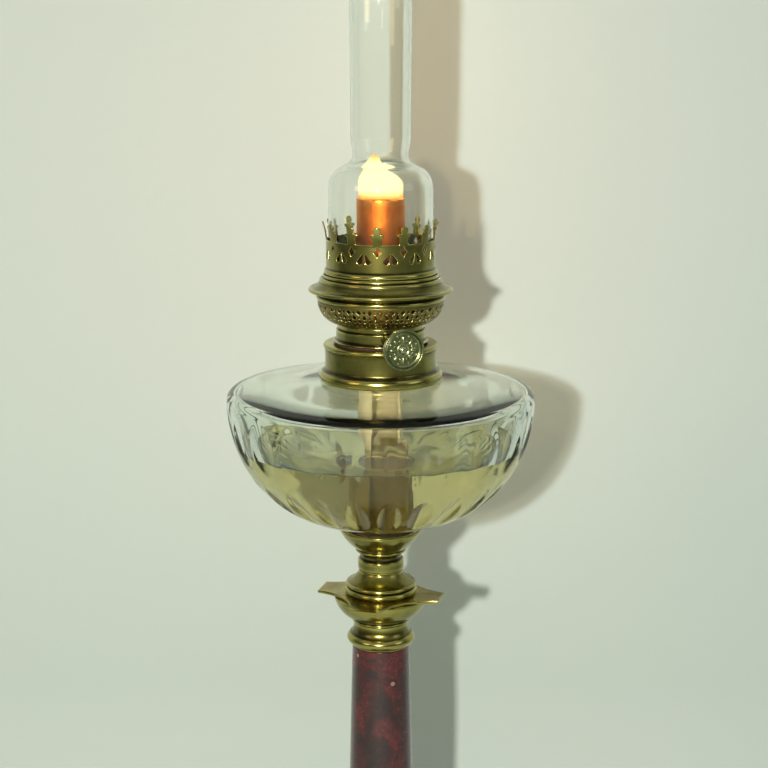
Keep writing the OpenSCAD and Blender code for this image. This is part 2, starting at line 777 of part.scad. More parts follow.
// Concave diamond under each prong
module diamond_hole() {
    w = 1.65;
    h = 2.5;
    polygon([[0, h], [0.45, 0.5], [w, 0], [0.45, -0.5], [0, -h], [-0.45, -0.5], [-w, 0], [-0.45, 0.5]]);
}

// Pair of drops that lean together between two prongs
module drop_pair() {
    for (side = [-1, 1]) {
        translate([side * 2.1, 0]) circle(r = 1.3, $fn = 24);
        polygon([[side * 3, 0.4], [side * 2, 2.6], [side * 0.3, 4], [side * 0.9, 1.8], [side * 1.2, 0]]);
    }
}

module chimney_gallery() {
    diamond_below = 3.4;
    drops_below = 8.1;
    far = gallery_r + 5;
    near = gallery_r - 6;
    wall_z = bead_h + 0.9;
    top_z = bead_h + wall_h;
    outline = concat(
        bow([gallery_r + 0.5, 0], [gallery_r + 0.5, bead_h], 0.5, 6),
        [[gallery_r - 0.1, bead_h + 0.3], [gallery_r, wall_z]],
        bow([gallery_r, top_z - 1], [gallery_r + prong_bend, top_z + prong_h + sheet], -0.3, 6)
    );
    color(brass) translate([0, 0, gallery_z]) {
        intersection() {
            spun(outline, sheet);
            union() {
                cylinder(h = top_z, r = far, $fn = 48);
                around(prong_count, prong_turn) outward_prism(near, far)
                    translate([0, top_z]) prong_shape();
            }
            difference() {
                cylinder(h = top_z + 2 * prong_h, r = far, $fn = 48);
                around(prong_count, prong_turn) outward_prism(near, far + through)
                    translate([0, top_z - diamond_below]) diamond_hole();
                around(prong_count, prong_turn + 180 / prong_count)
                    outward_prism(near, far + through)
                    translate([0, top_z - drops_below]) drop_pair();
            }
        }
        translate([0, 0, bead_h])
            turned([[gallery_in_r + 0.1, 0], [gallery_in_r + 0.1, ledge_t]], gallery_in_r - ledge_w);
    }
}

module wick_tube() {
    window_z = floor_t + duct_z;
    window_reach = tube_r + 5;
    color(brass) difference() {
        translate([0, 0, burner_z - tube_drop])
            turned([[tube_r, 0], [tube_r, tube_h + tube_drop]], tube_r - tube_wall);
        on_spindle() cylinder(h = window_reach, r = spindle_r + 1, $fn = 32);
        rotate([0, 0, spindle_turn - 90])
            translate([0, -duct_w / 2, burner_z + window_z]) cube([window_reach, duct_w, duct_h]);
    }
}

// Inner air tube, closed below, fed through a side duct in the wick's gap
module draught_tube() {
    wall = tube_wall;
    duct_base = burner_z + floor_t + duct_z;
    duct_reach = tube_r + 1.5;
    color(dark_brass) difference() {
        union() {
            translate([0, 0, duct_base])
                cylinder(h = tube_top_z - duct_base - 0.5, r = draught_r, $fn = round_fn);
            rotate([0, 0, spindle_turn - 90])
                translate([0, -duct_w / 2, duct_base]) cube([duct_reach, duct_w, duct_h]);
        }
        translate([0, 0, duct_base + wall])
            cylinder(h = tube_top_z - duct_base, r = draught_r - wall, $fn = round_fn);
        rotate([0, 0, spindle_turn - 90])
            translate([0, wall - duct_w / 2, duct_base + wall])
            cube([duct_reach + through, duct_w - 2 * wall, duct_h - 2 * wall]);
    }
}

module spindle_sleeve() {
    bore = spindle_r + spindle_play;
    color(dark_brass) on_spindle() translate([0, 0, sleeve_in])
        turned([[sleeve_r, 0], [sleeve_r, sleeve_out - sleeve_in - 2.5],
                [sleeve_r + 0.6, sleeve_out - sleeve_in - 2], [sleeve_r + 0.6, sleeve_out - sleeve_in]],
               bore);
}

module spindle() {
    inner_end = -wheel_far - 1;
    color(steel) on_spindle() translate([0, 0, inner_end])
        cylinder(h = knob_reach + knob_face - inner_end, r = spindle_r, $fn = 48);
}

// Two star wheels whose teeth reach the inside of the wick
module spur_wheels() {
    root_r = wheel_r - 0.9;
    color(steel) for (end = [-1, 1])
        on_spindle() translate([0, 0, end * (wheel_far - wheel_t / 2) - wheel_t / 2])
            linear_extrude(wheel_t) difference() {
                polygon([for (i = [0:2 * wheel_teeth - 1])
                    let (a = 180 * i / wheel_teeth, r = i % 2 == 0 ? wheel_r : root_r)
                    [r * cos(a), r * sin(a)]]);
                circle(r = spindle_r + 0.02, $fn = 48);
            }
}

// Disc with a raised rim, a ring, petals and a hub on its outer face
module knob() {
    face = knob_face;
    rim_w = 0.9;
    bore = spindle_r + 0.02;
    petal_r = knob_r * 0.14;
    outline = concat(
        [[knob_r - 0.6, 0], [knob_r, 0.5], [knob_r, knob_t - 0.4]],
        bow([knob_r, knob_t - 0.4], [knob_r - rim_w, knob_t - 0.4], -0.35, 4),
        [[knob_r - rim_w, face]],
        bow([knob_r - 1.7, face], [knob_r - 2.5, face], -0.4, 4),
        bow([knob_r * 0.34, face], [rivet_r + 0.1, face], -0.3, 4)
    );
    color(dark_brass) on_spindle() translate([0, 0, knob_reach]) {
        difference() {
            turned(outline, 0);
            translate([0, 0, -through]) cylinder(h = face + 2 * through, r = bore, $fn = 48);
        }
        for (i = [0:knob_petals - 1]) rotate([0, 0, 360 * i / knob_petals])
            translate([knob_r * 0.53, 0, face - 0.3]) sphere(r = petal_r, $fn = 24);
    }
}

module knob_rivet() {
    dome_h = 1.1;
    color(brass) on_spindle() translate([0, 0, knob_reach + knob_face])
        turned(concat([[rivet_r, 0]], bow([rivet_r, 0.3], [0.4, dome_h], 0.25, 5)), 0);
}

// A split cotton sleeve, open beside the winder and nearly closed at the top
module wick_section(gap) {
    reach = 2 * wick_out_r;
    difference() {
        circle(r = wick_out_r, $fn = round_fn);
        circle(r = wick_in_r, $fn = round_fn);
        polygon([[0, 0], reach * [cos(gap / 2), -sin(gap / 2)], [1.5 * reach, 0],
                 reach * [cos(gap / 2), sin(gap / 2)]]);
    }
}

module wick() {
    color(cotton) rotate([0, 0, spindle_turn - 90]) {
        translate([0, 0, tail_z]) linear_extrude(gap_top_z - tail_z) wick_section(wick_gap);
        translate([0, 0, gap_top_z]) linear_extrude(wick_top_z - gap_top_z) wick_section(closed_gap);
    }
}

module chimney() {
    shoulder_h = 12.5;
    neck_below = 4;
    neck_above = 8;
    pinch_z = bulb_h + shoulder_h + neck_below;
    flue_z = pinch_z + neck_above;
    shoulder_r = pinch_r + 2.4;
    outline = concat(
        [[bulb_r, 0], [bulb_r, bulb_h - 4]],
        bow([bulb_r, bulb_h], [shoulder_r, bulb_h + shoulder_h], 3.1, 10),
        bow([pinch_r + 0.6, pinch_z - 1.6], [pinch_r + 0.35, pinch_z + 1.6], -0.4, 4),
        bow([flue_r - 0.5, flue_z - 3.5], [flue_r, flue_z], 0.1, 3),
        [[flue_top_r, chimney_h]]
    );
    color(glass) translate([0, 0, seat_z]) spun(outline, chimney_wall);
}

base_felt();
base_foot();
plinth_block();
base_moulding();
column();
capital_ring();
capital_bowl();
abacus_plate();
capital_cap();
font_stem();
font_cup();
tie_rod();
foot_washer();
foot_nut();
cup_nut();
cup_plaster();
font();
lamp_oil();
collar_plaster();
font_collar();
gasket_ring();
burner_base();
burner_basket();
burner_flange();
air_diffuser();
chimney_gallery();
wick_tube();
draught_tube();
spindle_sleeve();
spindle();
spur_wheels();
knob();
knob_rivet();
wick();
chimney();
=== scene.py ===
"""An oil table lamp in a plain studio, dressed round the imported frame.

The frame gives each piece its place. This script replaces the pieces that show by finer
surfaces, worked out as whole numpy arrays, and gives every piece the finish of its material.
Shapes are in millimetres, +Z up, with the front of the lamp at -Y, and become metres when
they are put into a mesh. The lamp is lit: its flame rides on the wick.
"""

from __future__ import annotations

import json
import logging
import math
from abc import ABC, abstractmethod
from collections.abc import Callable, Sequence
from dataclasses import dataclass
from enum import Enum

import bmesh
import bpy
import numpy as np
from mathutils import Matrix, Vector

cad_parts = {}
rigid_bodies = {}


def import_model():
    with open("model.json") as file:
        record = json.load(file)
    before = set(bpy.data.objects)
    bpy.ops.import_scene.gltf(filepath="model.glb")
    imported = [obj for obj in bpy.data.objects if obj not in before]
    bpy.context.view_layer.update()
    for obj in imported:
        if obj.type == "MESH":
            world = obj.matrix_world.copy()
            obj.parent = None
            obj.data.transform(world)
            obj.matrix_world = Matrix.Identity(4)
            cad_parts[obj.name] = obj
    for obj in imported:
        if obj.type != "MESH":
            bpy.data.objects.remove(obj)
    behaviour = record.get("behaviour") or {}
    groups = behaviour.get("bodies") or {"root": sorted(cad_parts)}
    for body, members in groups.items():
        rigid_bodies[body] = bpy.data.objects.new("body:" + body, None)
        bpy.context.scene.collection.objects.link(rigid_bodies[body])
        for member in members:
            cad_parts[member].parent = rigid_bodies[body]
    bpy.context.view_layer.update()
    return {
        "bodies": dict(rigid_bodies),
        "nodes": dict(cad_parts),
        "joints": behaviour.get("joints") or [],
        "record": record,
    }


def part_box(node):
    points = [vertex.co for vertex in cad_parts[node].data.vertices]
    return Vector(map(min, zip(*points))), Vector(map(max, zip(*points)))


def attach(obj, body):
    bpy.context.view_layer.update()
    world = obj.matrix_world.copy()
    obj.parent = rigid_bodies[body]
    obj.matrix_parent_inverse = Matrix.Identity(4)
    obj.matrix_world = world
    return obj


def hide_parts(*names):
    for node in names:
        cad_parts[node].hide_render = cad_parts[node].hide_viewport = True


log = logging.getLogger("lamp")

MM = 0.001
AROUND = 160
GLASS_BOUNCES = 28


class Slot(Enum):
    """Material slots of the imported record."""

    BRASS = "brass"
    DARK_BRASS = "dark_brass"
    MARBLE = "marble"
    GLASS = "clear_glass"
    OIL = "lamp_oil"
    COTTON = "cotton"
    FELT = "felt"


class Body(Enum):
    """Bodies of the frame that pieces ride on."""

    STAND = "stand"
    BURNER = "burner"
    WINDER = "winder"
    WICK = "wick"
    CHIMNEY = "chimney"


@dataclass(frozen=True)
class Span:
    """Room that one node of the frame takes, in millimetres."""

    low: np.ndarray
    high: np.ndarray

    @classmethod
    def of(cls, node: str) -> Span:
        """The room of the node with this name."""
        low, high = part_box(node)
        return cls(np.array(low) / MM, np.array(high) / MM)

    @property
    def foot(self) -> float:
        """Lowest height."""
        return float(self.low[2])

    @property
    def top(self) -> float:
        """Highest height."""
        return float(self.high[2])

    @property
    def height(self) -> float:
        """Distance from the lowest to the highest point."""
        return self.top - self.foot

    @property
    def radius(self) -> float:
        """Half of the width."""
        return float(self.high[0] - self.low[0]) / 2


def bow(start: Sequence[float], end: Sequence[float], sag: float, steps: int = 12) -> np.ndarray:
    """Points from start to end along a parabola that stands sag to the right of the way.

    A point at share t is start + way * t + side * 4 * sag * t * (1 - t).

    Args:
        start: first point, as radius and height.
        end: last point.
        sag: greatest distance from the straight way.
        steps: number of stretches.

    Returns:
        The points, one per row.
    """
    start, end = np.array(start, float), np.array(end, float)
    way = end - start
    side = np.array([way[1], -way[0]]) / np.linalg.norm(way)
    t = np.linspace(0, 1, steps + 1)[:, None]
    return start + way * t + side * 4 * sag * t * (1 - t)


def outline(*parts: Sequence) -> np.ndarray:
    """Joins single points and rows of points to one outline, as [radius, height] rows."""
    return np.vstack([np.atleast_2d(np.array(part, float)) for part in parts])


def soften(points: np.ndarray, radius: float, closed: bool, steps: int = 5) -> np.ndarray:
    """Rounds the corners of an outline.

    Each corner becomes the curve (1-t)^2 p0 + 2t(1-t) corner + t^2 p2, where p0 and p2 lie on
    its two edges, radius away from it but never past 0.4 of the shorter edge.

    Args:
        points: the outline.
        radius: distance from the corner at which the rounding starts.
        closed: whether the last point joins the first.
        steps: points on each rounded corner.

    Returns:
        The rounded outline.
    """
    sharp = math.radians(14)
    back = np.roll(points, 1, 0) - points
    ahead = np.roll(points, -1, 0) - points
    back_len = np.linalg.norm(back, axis=1, keepdims=True).clip(1e-6)
    ahead_len = np.linalg.norm(ahead, axis=1, keepdims=True).clip(1e-6)
    cosine = (back * ahead).sum(1) / (back_len * ahead_len)[:, 0]
    corner = np.arccos(np.clip(-cosine, -1, 1)) > sharp
    if not closed:
        corner[[0, -1]] = False
    reach = np.minimum(radius, 0.4 * np.minimum(back_len, ahead_len))
    t = np.linspace(0, 1, steps)[None, :, None]
    p0 = (points + back / back_len * reach)[:, None]
    p2 = (points + ahead / ahead_len * reach)[:, None]
    curve = (1 - t) ** 2 * p0 + 2 * t * (1 - t) * points[:, None] + t**2 * p2
    curve = np.where(corner[:, None, None], curve, points[:, None])
    kept = corner[:, None] | (np.arange(steps) == 0)[None]
    return curve[kept]


def lengths(points: np.ndarray) -> np.ndarray:
    """Distance along the outline from its first point to each point."""
    return np.concatenate([[0], np.cumsum(np.linalg.norm(np.diff(points, axis=0), axis=1))])


def refine(points: np.ndarray, step: float) -> np.ndarray:
    """The same outline with more points on it, so that none lies more than a step from the next."""
    s = lengths(points)
    kept = np.concatenate([[True], np.diff(s) > 1e-4])
    s, points = s[kept], points[kept]
    more = np.union1d(s, np.arange(0, s[-1], step))
    close = np.concatenate([[False], np.diff(more) < 0.02])
    more = more[~close | np.isin(more, s)]
    return np.stack([np.interp(more, s, points[:, k]) for k in (0, 1)], axis=1)


def wear_along(points: np.ndarray, closed: bool, spread: float = 0.8) -> np.ndarray:
    """How worn or how dirty each point of an outline is, from its shape.

    It is the angle by which the outline turns near the point, summed with a bell curve of the
    distance along it: above 0 on ridges, which hands polish, below 0 in hollows, where
    patina stays.

    Args:
        points: the outline, with the body on its left.
        closed: whether the last point joins the first.
        spread: width of the bell curve in millimetres.

    Returns:
        One value from -1 to 1 per point.
    """
    ahead = np.roll(points, -1, 0) - points
    heading = np.arctan2(ahead[:, 1], ahead[:, 0])
    turn = heading - np.roll(heading, 1)
    turn = (turn + np.pi) % (2 * np.pi) - np.pi
    if not closed:
        turn[[0, -1]] = 0
    s = lengths(points)
    near = np.exp(-(((s[:, None] - s[None]) / spread) ** 2))
    return np.clip(near @ turn / 1.2, -1, 1)


@dataclass
class Skin:
    """A grid of points in millimetres. Columns times rows points outwards, right-handed.

    Attributes:
        points: rows by columns by 3.
        ring_rows: whether the last row joins the first.
        ring_columns: whether the last column joins the first.
        wear: ridges and hollows, one value per row, or None.
        size: real length across all columns and along all rows, for the UV map.
    """

    points: np.ndarray
    ring_rows: bool = False
    ring_columns: bool = True
    wear: np.ndarray | None = None
    size: tuple[float, float] = (1.0, 1.0)

    def corners(self) -> tuple[np.ndarray, np.ndarray]:
        """Row and column number of the four corners of each face, past the end where it wraps."""
        rows, columns = self.points.shape[:2]
        i, j = np.meshgrid(
            np.arange(rows - (not self.ring_rows)),
            np.arange(columns - (not self.ring_columns)),
            indexing="ij",
        )
        across = np.stack([i, i, i + 1, i + 1], -1).reshape(-1, 4)
        along = np.stack([j, j + 1, j + 1, j], -1).reshape(-1, 4)
        return across, along


def revolve(points: np.ndarray, closed: bool = False, columns: int = AROUND) -> Skin:
    """Turns an outline about the Z axis: x = r cos a, y = r sin a, z = height.

    Args:
        points: the outline, with the body on its left.
        closed: whether the outline is a loop, as on a piece with a bore.
        columns: copies of the outline round the axis.

    Returns:
        The turned skin.
    """
    a = np.arange(columns) / columns * 2 * np.pi
    r, z = points[:, :1], points[:, 1:]
    grid = np.stack([r * np.cos(a), r * np.sin(a), z + 0 * a], axis=-1)
    size = (2 * np.pi * float(points[:, 0].max()), float(lengths(points)[-1]))
    return Skin(grid, ring_rows=closed, wear=wear_along(points, closed), size=size)


def turned(points: np.ndarray, closed: bool = False, softness: float = 0.22,
           step: float = 1.2, columns: int = AROUND) -> Skin:
    """A turned skin with its corners rounded, as revolve makes it."""
    return revolve(refine(soften(points, softness, closed), step), closed, columns)


def square_round(points: np.ndarray, corner: float, per_corner: int = 7) -> Skin:
    """Carries an outline of [half width, height] round a square with rounded corners.

    A corner is the centre (h - c, h - c) plus c (cos a, sin a), turned to the four quarters.

    Args:
        points: the outline, with the body on its left.
        corner: radius of the upright corners in plan.
        per_corner: points on each corner.

    Returns:
        The skin.
    """
    a = (np.linspace(0, 90, per_corner)[None] + np.arange(4)[:, None] * 90).ravel()
    quarter = np.repeat(np.arange(4), per_corner) * 90 + 45
    half = points[:, :1]
    c = np.minimum(corner, half)
    middle = (half - c) * math.sqrt(2)
    x = middle * np.cos(np.radians(quarter)) + c * np.cos(np.radians(a))
    y = middle * np.sin(np.radians(quarter)) + c * np.sin(np.radians(a))
    z = np.broadcast_to(points[:, 1:], x.shape)
    return Skin(np.stack([x, y, z], -1), wear=wear_along(points, False))


def placed(skin: Skin, matrix: np.ndarray) -> Skin:
    """The same skin with its points carried through a 4 by 4 matrix in millimetres."""
    points = skin.points @ matrix[:3, :3].T + matrix[:3, 3]
    return Skin(points, skin.ring_rows, skin.ring_columns, skin.wear, skin.size)


def mesh_of(name: str, skins: Sequence[Skin]) -> bpy.types.Mesh:
    """Puts skins into one mesh, in metres, with its UV map and its wear attribute.

    Args:
        name: name of the mesh.
        skins: the skins, which stay apart from each other.

    Returns:
        The mesh, with its poles merged and smooth but for sharp edges.
    """
    points, faces, uv, wear, first = [], [], [], [], 0
    for skin in skins:
        rows, columns = skin.points.shape[:2]
        across, along = skin.corners()
        faces.append(first + (across % rows) * columns + along % columns)
        uv.append(np.stack([along / columns * skin.size[0], across / rows * skin.size[1]], -1))
        points.append(skin.points.reshape(-1, 3))
        worn = np.zeros(rows) if skin.wear is None else skin.wear
        wear.append(np.repeat(worn, columns))
        first += rows * columns
    return fill_mesh(name, np.vstack(points), np.vstack(faces), np.concatenate(wear),
                     np.vstack([u.reshape(-1, 2) for u in uv]))


def fill_mesh(name: str, points: np.ndarray, faces: np.ndarray, wear: np.ndarray,
              uv: np.ndarray | None = None) -> bpy.types.Mesh:
    """A mesh from arrays of points in millimetres and of four-cornered faces.

    Args:
        name: name of the mesh.
        points: one point per row.
        faces: numbers of the four points of each face.
        wear: one value per point.
        uv: place of each face corner in the UV map, in millimetres.

    Returns:
        The mesh.
    """
    mesh = bpy.data.meshes.new(name)
    mesh.vertices.add(len(points))
    mesh.vertices.foreach_set("co", (points * MM).astype(np.float32).ravel())
    mesh.loops.add(faces.size)
    mesh.loops.foreach_set("vertex_index", faces.astype(np.int32).ravel())
    mesh.polygons.add(len(faces))
    mesh.polygons.foreach_set("loop_start", np.arange(0, faces.size, 4, dtype=np.int32))
    mesh.update(calc_edges=True)
    mesh.attributes.new("wear", "FLOAT", "POINT").data.foreach_set("value", wear.astype(np.float32))
    if uv is not None:
        mesh.uv_layers.new(name="cloth").uv.foreach_set("vector", (uv * MM).astype(np.float32).ravel())
    close_poles(mesh)
    mesh.shade_smooth()
    mesh.set_sharp_from_angle(angle=math.radians(38))
    return mesh


def close_poles(mesh: bpy.types.Mesh) -> None:
    """Merges points that lie on each other, which closes poles, and drops faces without area."""
    shape = bmesh.new()
    shape.from_mesh(mesh)
    bmesh.ops.remove_doubles(shape, verts=shape.verts, dist=1e-7)
    bmesh.ops.dissolve_degenerate(shape, edges=shape.edges, dist=1e-7)
    shape.to_mesh(mesh)
    shape.free()


def linear(colour: str) -> tuple[float, float, float, float]:
    """A linear RGBA colour from an sRGB hex value such as #8A7A35."""
    c = np.array([int(colour[k:k + 2], 16) for k in (1, 3, 5)]) / 255
    return (*(float(x) for x in np.where(c <= 0.04045, c / 12.92, ((c + 0.055) / 1.055) ** 2.4)), 1.0)


def add_node(tree: bpy.types.NodeTree, kind: str, inputs: dict | None = None,
             stops: Sequence[tuple[float, str]] = (), **settings: object) -> bpy.types.Node:
    """Adds a node with its settings and links.

    Args:
        tree: the node tree.
        kind: Blender's name of the node.
        inputs: for each input, by name or number, its value or the output to link to it.
        stops: for a colour ramp, each stop's place and hex colour.
        settings: the node's own properties.

    Returns:
        The node.
    """
    node = tree.nodes.new(kind)
    for name, value in settings.items():
        setattr(node, name, value)
    for key, value in (inputs or {}).items():
        if isinstance(value, bpy.types.NodeSocket):
            tree.links.new(value, node.inputs[key])
        else:
            node.inputs[key].default_value = value
    for number, (place, colour) in enumerate(stops):
        ramp = node.color_ramp.elements
        stop = ramp[number] if number < 2 else ramp.new(place)
        stop.position, stop.color = place, linear(colour)
    return node


@dataclass(frozen=True)
class Finish(ABC):
    """A finish of a real material, made once and shared by its pieces."""

    name: str

    def material(self) -> bpy.types.Material:
        """The material with this name, made at the first call."""
        found = bpy.data.materials.get(self.name)
        if found:
            return found
        made = bpy.data.materials.new(self.name)
        made.use_nodes = True
        tree = made.node_tree
        tree.nodes.clear()
        end = tree.nodes.new("ShaderNodeOutputMaterial")
        tree.links.new(self.shader(tree), end.inputs["Surface"])
        return made

    @abstractmethod
    def shader(self, tree: bpy.types.NodeTree) -> bpy.types.NodeSocket:
        """Wires the nodes and hands back the socket that gives the surface."""


@dataclass(frozen=True)
class AgedBrass(Finish):
    """Spun brass, once lacquered, with patina in the hollows and bright worn ridges."""

    clean: str = "#A89F56"
    patina: str = "#7E7638"
    grime: str = "#26230E"
    smooth: float = 0.17
    dull: float = 0.3
    stain_mm: float = 16.0
    line_mm: float = 0.5
    brushed: float = 0.35
    coat: float = 0.25

    def shader(self, tree: bpy.types.NodeTree) -> bpy.types.NodeSocket:
        """Stains of two sizes, wear from the outline, fine rings left by the spinning tool."""
        place = add_node(tree, "ShaderNodeTexCoord").outputs["Object"]
        wear = add_node(tree, "ShaderNodeAttribute", attribute_name="wear").outputs["Fac"]
        stain = add_node(tree, "ShaderNodeTexNoise", {
            "Vector": place, "Scale": 1 / (self.stain_mm * MM), "Detail": 5, "Roughness": 0.6})
        # The tool leaves rings, so the pattern follows radius and height and hardly the angle
        split = add_node(tree, "ShaderNodeSeparateXYZ", {0: place})
        radius = add_node(tree, "ShaderNodeVectorMath", {
            0: add_node(tree, "ShaderNodeCombineXYZ", {
                "X": split.outputs["X"], "Y": split.outputs["Y"]}).outputs[0]},
            operation="LENGTH").outputs["Value"]
        ring_place = add_node(tree, "ShaderNodeCombineXYZ", {"X": radius, "Z": split.outputs["Z"]})
        rings = add_node(tree, "ShaderNodeTexNoise", {
            "Vector": ring_place.outputs[0], "Scale": 1 / (self.line_mm * MM), "Detail": 3})
        age = add_node(tree, "ShaderNodeMath", {
            0: wear, 1: -0.75, 2: stain.outputs["Fac"]}, operation="MULTIPLY_ADD")
        colour = add_node(tree, "ShaderNodeValToRGB", {"Fac": age.outputs[0]}, stops=[
            (0.3, self.clean), (0.62, self.patina), (1.0, self.grime)])
        dull = add_node(tree, "ShaderNodeMapRange", {
            "Value": age.outputs[0], "From Min": 0.2, "From Max": 0.9,
            "To Min": self.smooth, "To Max": self.dull})
        bump = add_node(tree, "ShaderNodeBump", {
            "Height": rings.outputs["Fac"], "Strength": 0.12, "Distance": 0.1 * MM})
        metal = add_node(tree, "ShaderNodeBsdfPrincipled", {
            "Base Color": colour.outputs["Color"], "Metallic": 1.0,
            "Roughness": dull.outputs["Result"], "Normal": bump.outputs["Normal"],
            "Anisotropic": self.brushed, "Coat Weight": self.coat, "Coat Roughness": 0.12,
            "Tangent": add_node(tree, "ShaderNodeTangent",
                                direction_type="RADIAL", axis="Z").outputs[0]})
        return metal.outputs["BSDF"]


@dataclass(frozen=True)
class CastBrass(Finish):
    """Cast and hand-polished brass: fine crossing scratches and cloudy patina, no rings."""

    clean: str = "#A89C54"
    patina: str = "#7C7036"
    grime: str = "#2E2812"
    stain_mm: float = 14.0
    scratch_mm: float = 0.35
    smooth: float = 0.2
    dull: float = 0.4

    def shader(self, tree: bpy.types.NodeTree) -> bpy.types.NodeSocket:
        """Cloudy stains and stretched noise for the scratches of the polishing cloth."""
        place = add_node(tree, "ShaderNodeTexCoord").outputs["Object"]
        wear = add_node(tree, "ShaderNodeAttribute", attribute_name="wear").outputs["Fac"]
        stain = add_node(tree, "ShaderNodeTexNoise", {
            "Vector": place, "Scale": 1 / (self.stain_mm * MM), "Detail": 6, "Roughness": 0.62})
        long_way = add_node(tree, "ShaderNodeMapping", {
            "Vector": place, "Rotation": (0.3, 0.5, 0.7), "Scale": (1, 12, 12)})
        scratch = add_node(tree, "ShaderNodeTexNoise", {
            "Vector": long_way.outputs[0], "Scale": 1 / (12 * self.scratch_mm * MM), "Detail": 2})
        age = add_node(tree, "ShaderNodeMath", {
            0: wear, 1: -0.75, 2: stain.outputs["Fac"]}, operation="MULTIPLY_ADD")
        colour = add_node(tree, "ShaderNodeValToRGB", {"Fac": age.outputs[0]}, stops=[
            (0.3, self.clean), (0.62, self.patina), (1.0, self.grime)])
        dull = add_node(tree, "ShaderNodeMapRange", {
            "Value": age.outputs[0], "From Min": 0.2, "From Max": 0.9,
            "To Min": self.smooth, "To Max": self.dull})
        bump = add_node(tree, "ShaderNodeBump", {
            "Height": scratch.outputs["Fac"], "Strength": 0.1, "Distance": 0.1 * MM})
        metal = add_node(tree, "ShaderNodeBsdfPrincipled", {
            "Base Color": colour.outputs["Color"], "Metallic": 1.0,
            "Roughness": dull.outputs["Result"], "Normal": bump.outputs["Normal"],
            "Coat Weight": 0.25, "Coat Roughness": 0.12})
        return metal.outputs["BSDF"]


@dataclass(frozen=True)
class RedMarble(Finish):
    """Polished dark red marble: clouds of oxblood and near black, pale flecks and veins."""

    deep: str = "#140204"
    body: str = "#30060A"
    cloud: str = "#541014"
    fleck: str = "#B08078"
    cloud_mm: float = 16.0
    grain_mm: float = 2.2
    vein_mm: float = 45.0

    def shader(self, tree: bpy.types.NodeTree) -> bpy.types.NodeSocket:
        """Warped noise for the clouds, distorted bands for veins, sparse cells for flecks."""
        place = add_node(tree, "ShaderNodeTexCoord").outputs["Object"]
        clouds = add_node(tree, "ShaderNodeTexNoise", {
            "Vector": place, "Scale": 1 / (self.cloud_mm * MM), "Detail": 8,
            "Roughness": 0.62, "Distortion": 0.9})
        grain = add_node(tree, "ShaderNodeTexNoise", {
            "Vector": place, "Scale": 1 / (self.grain_mm * MM), "Detail": 3})
        mixed = add_node(tree, "ShaderNodeMath", {
            0: grain.outputs["Fac"], 1: 0.35, 2: clouds.outputs["Fac"]}, operation="MULTIPLY_ADD")
        stone = add_node(tree, "ShaderNodeValToRGB", {"Fac": mixed.outputs[0]}, stops=[
            (0.5, self.deep), (0.66, self.body), (0.85, self.cloud)])
        veins = add_node(tree, "ShaderNodeTexNoise", {
            "Vector": place, "Scale": 1 / (self.vein_mm * MM), "Detail": 6, "Distortion": 1.6},
            noise_type="RIDGED_MULTIFRACTAL")
        vein = add_node(tree, "ShaderNodeMapRange", {
            "Value": veins.outputs["Fac"], "From Min": 0.93, "From Max": 1.0, "To Max": 0.45})
        cells = add_node(tree, "ShaderNodeTexVoronoi", {
            "Vector": place, "Scale": 1 / (6 * MM), "Randomness": 1.0})
        chance = add_node(tree, "ShaderNodeSeparateXYZ", {0: cells.outputs["Color"]})
        small = add_node(tree, "ShaderNodeMath", {
            0: cells.outputs["Distance"], 1: 0.2}, operation="LESS_THAN")
        rare = add_node(tree, "ShaderNodeMath", {
            0: chance.outputs["X"], 1: 0.93}, operation="GREATER_THAN")
        dot = add_node(tree, "ShaderNodeMath", {
            0: small.outputs[0], 1: rare.outputs[0]}, operation="MULTIPLY")
        faint = add_node(tree, "ShaderNodeMath", {
            0: dot.outputs[0], 1: 0.55, 2: vein.outputs["Result"]}, operation="MULTIPLY_ADD")
        colour = add_node(tree, "ShaderNodeMix", {
            "Factor": faint.outputs[0], "A": stone.outputs["Color"], "B": linear(self.fleck)},
            data_type="RGBA", clamp_factor=True)
        polish = add_node(tree, "ShaderNodeMapRange", {
            "Value": grain.outputs["Fac"], "To Min": 0.16, "To Max": 0.34})
        stone_shader = add_node(tree, "ShaderNodeBsdfPrincipled", {
            "Base Color": colour.outputs["Result"], "Roughness": polish.outputs["Result"],
            "IOR": 1.5, "Coat Weight": 0.5, "Coat Roughness": 0.06})
        return stone_shader.outputs["BSDF"]


@dataclass(frozen=True)
class ClearGlass(Finish):
    """Clear soda glass with its faint green, which lets lamps through."""

    tint: str = "#F2F7F0"
    index: float = 1.5
    haze: float = 0.0
    shadow: str = "#DDE6DC"
    wave_mm: float = 0.0

    def shader(self, tree: bpy.types.NodeTree) -> bpy.types.NodeSocket:
        """Smooth refracting glass; blown glass also has long shallow waves."""
        inputs = {"Base Color": linear(self.tint), "Roughness": self.haze, "IOR": self.index,
                  "Transmission Weight": 1.0}
        if self.wave_mm:
            place = add_node(tree, "ShaderNodeTexCoord").outputs["Object"]
            long_way = add_node(tree, "ShaderNodeMapping", {"Vector": place, "Scale": (1, 1, 0.2)})
            waves = add_node(tree, "ShaderNodeTexNoise", {
                "Vector": long_way.outputs[0], "Scale": 1 / (self.wave_mm * MM), "Detail": 1})
            inputs["Normal"] = add_node(tree, "ShaderNodeBump", {
                "Height": waves.outputs["Fac"], "Strength": 0.25,
                "Distance": 0.3 * MM}).outputs["Normal"]
        glass = add_node(tree, "ShaderNodeBsdfPrincipled", inputs)
        through = add_node(tree, "ShaderNodeBsdfTransparent", {"Color": linear(self.shadow)})
        path = add_node(tree, "ShaderNodeLightPath")
        both = add_node(tree, "ShaderNodeMixShader", {
            0: path.outputs["Is Shadow Ray"], 1: glass.outputs["BSDF"],
            2: through.outputs["BSDF"]})
        return both.outputs["Shader"]


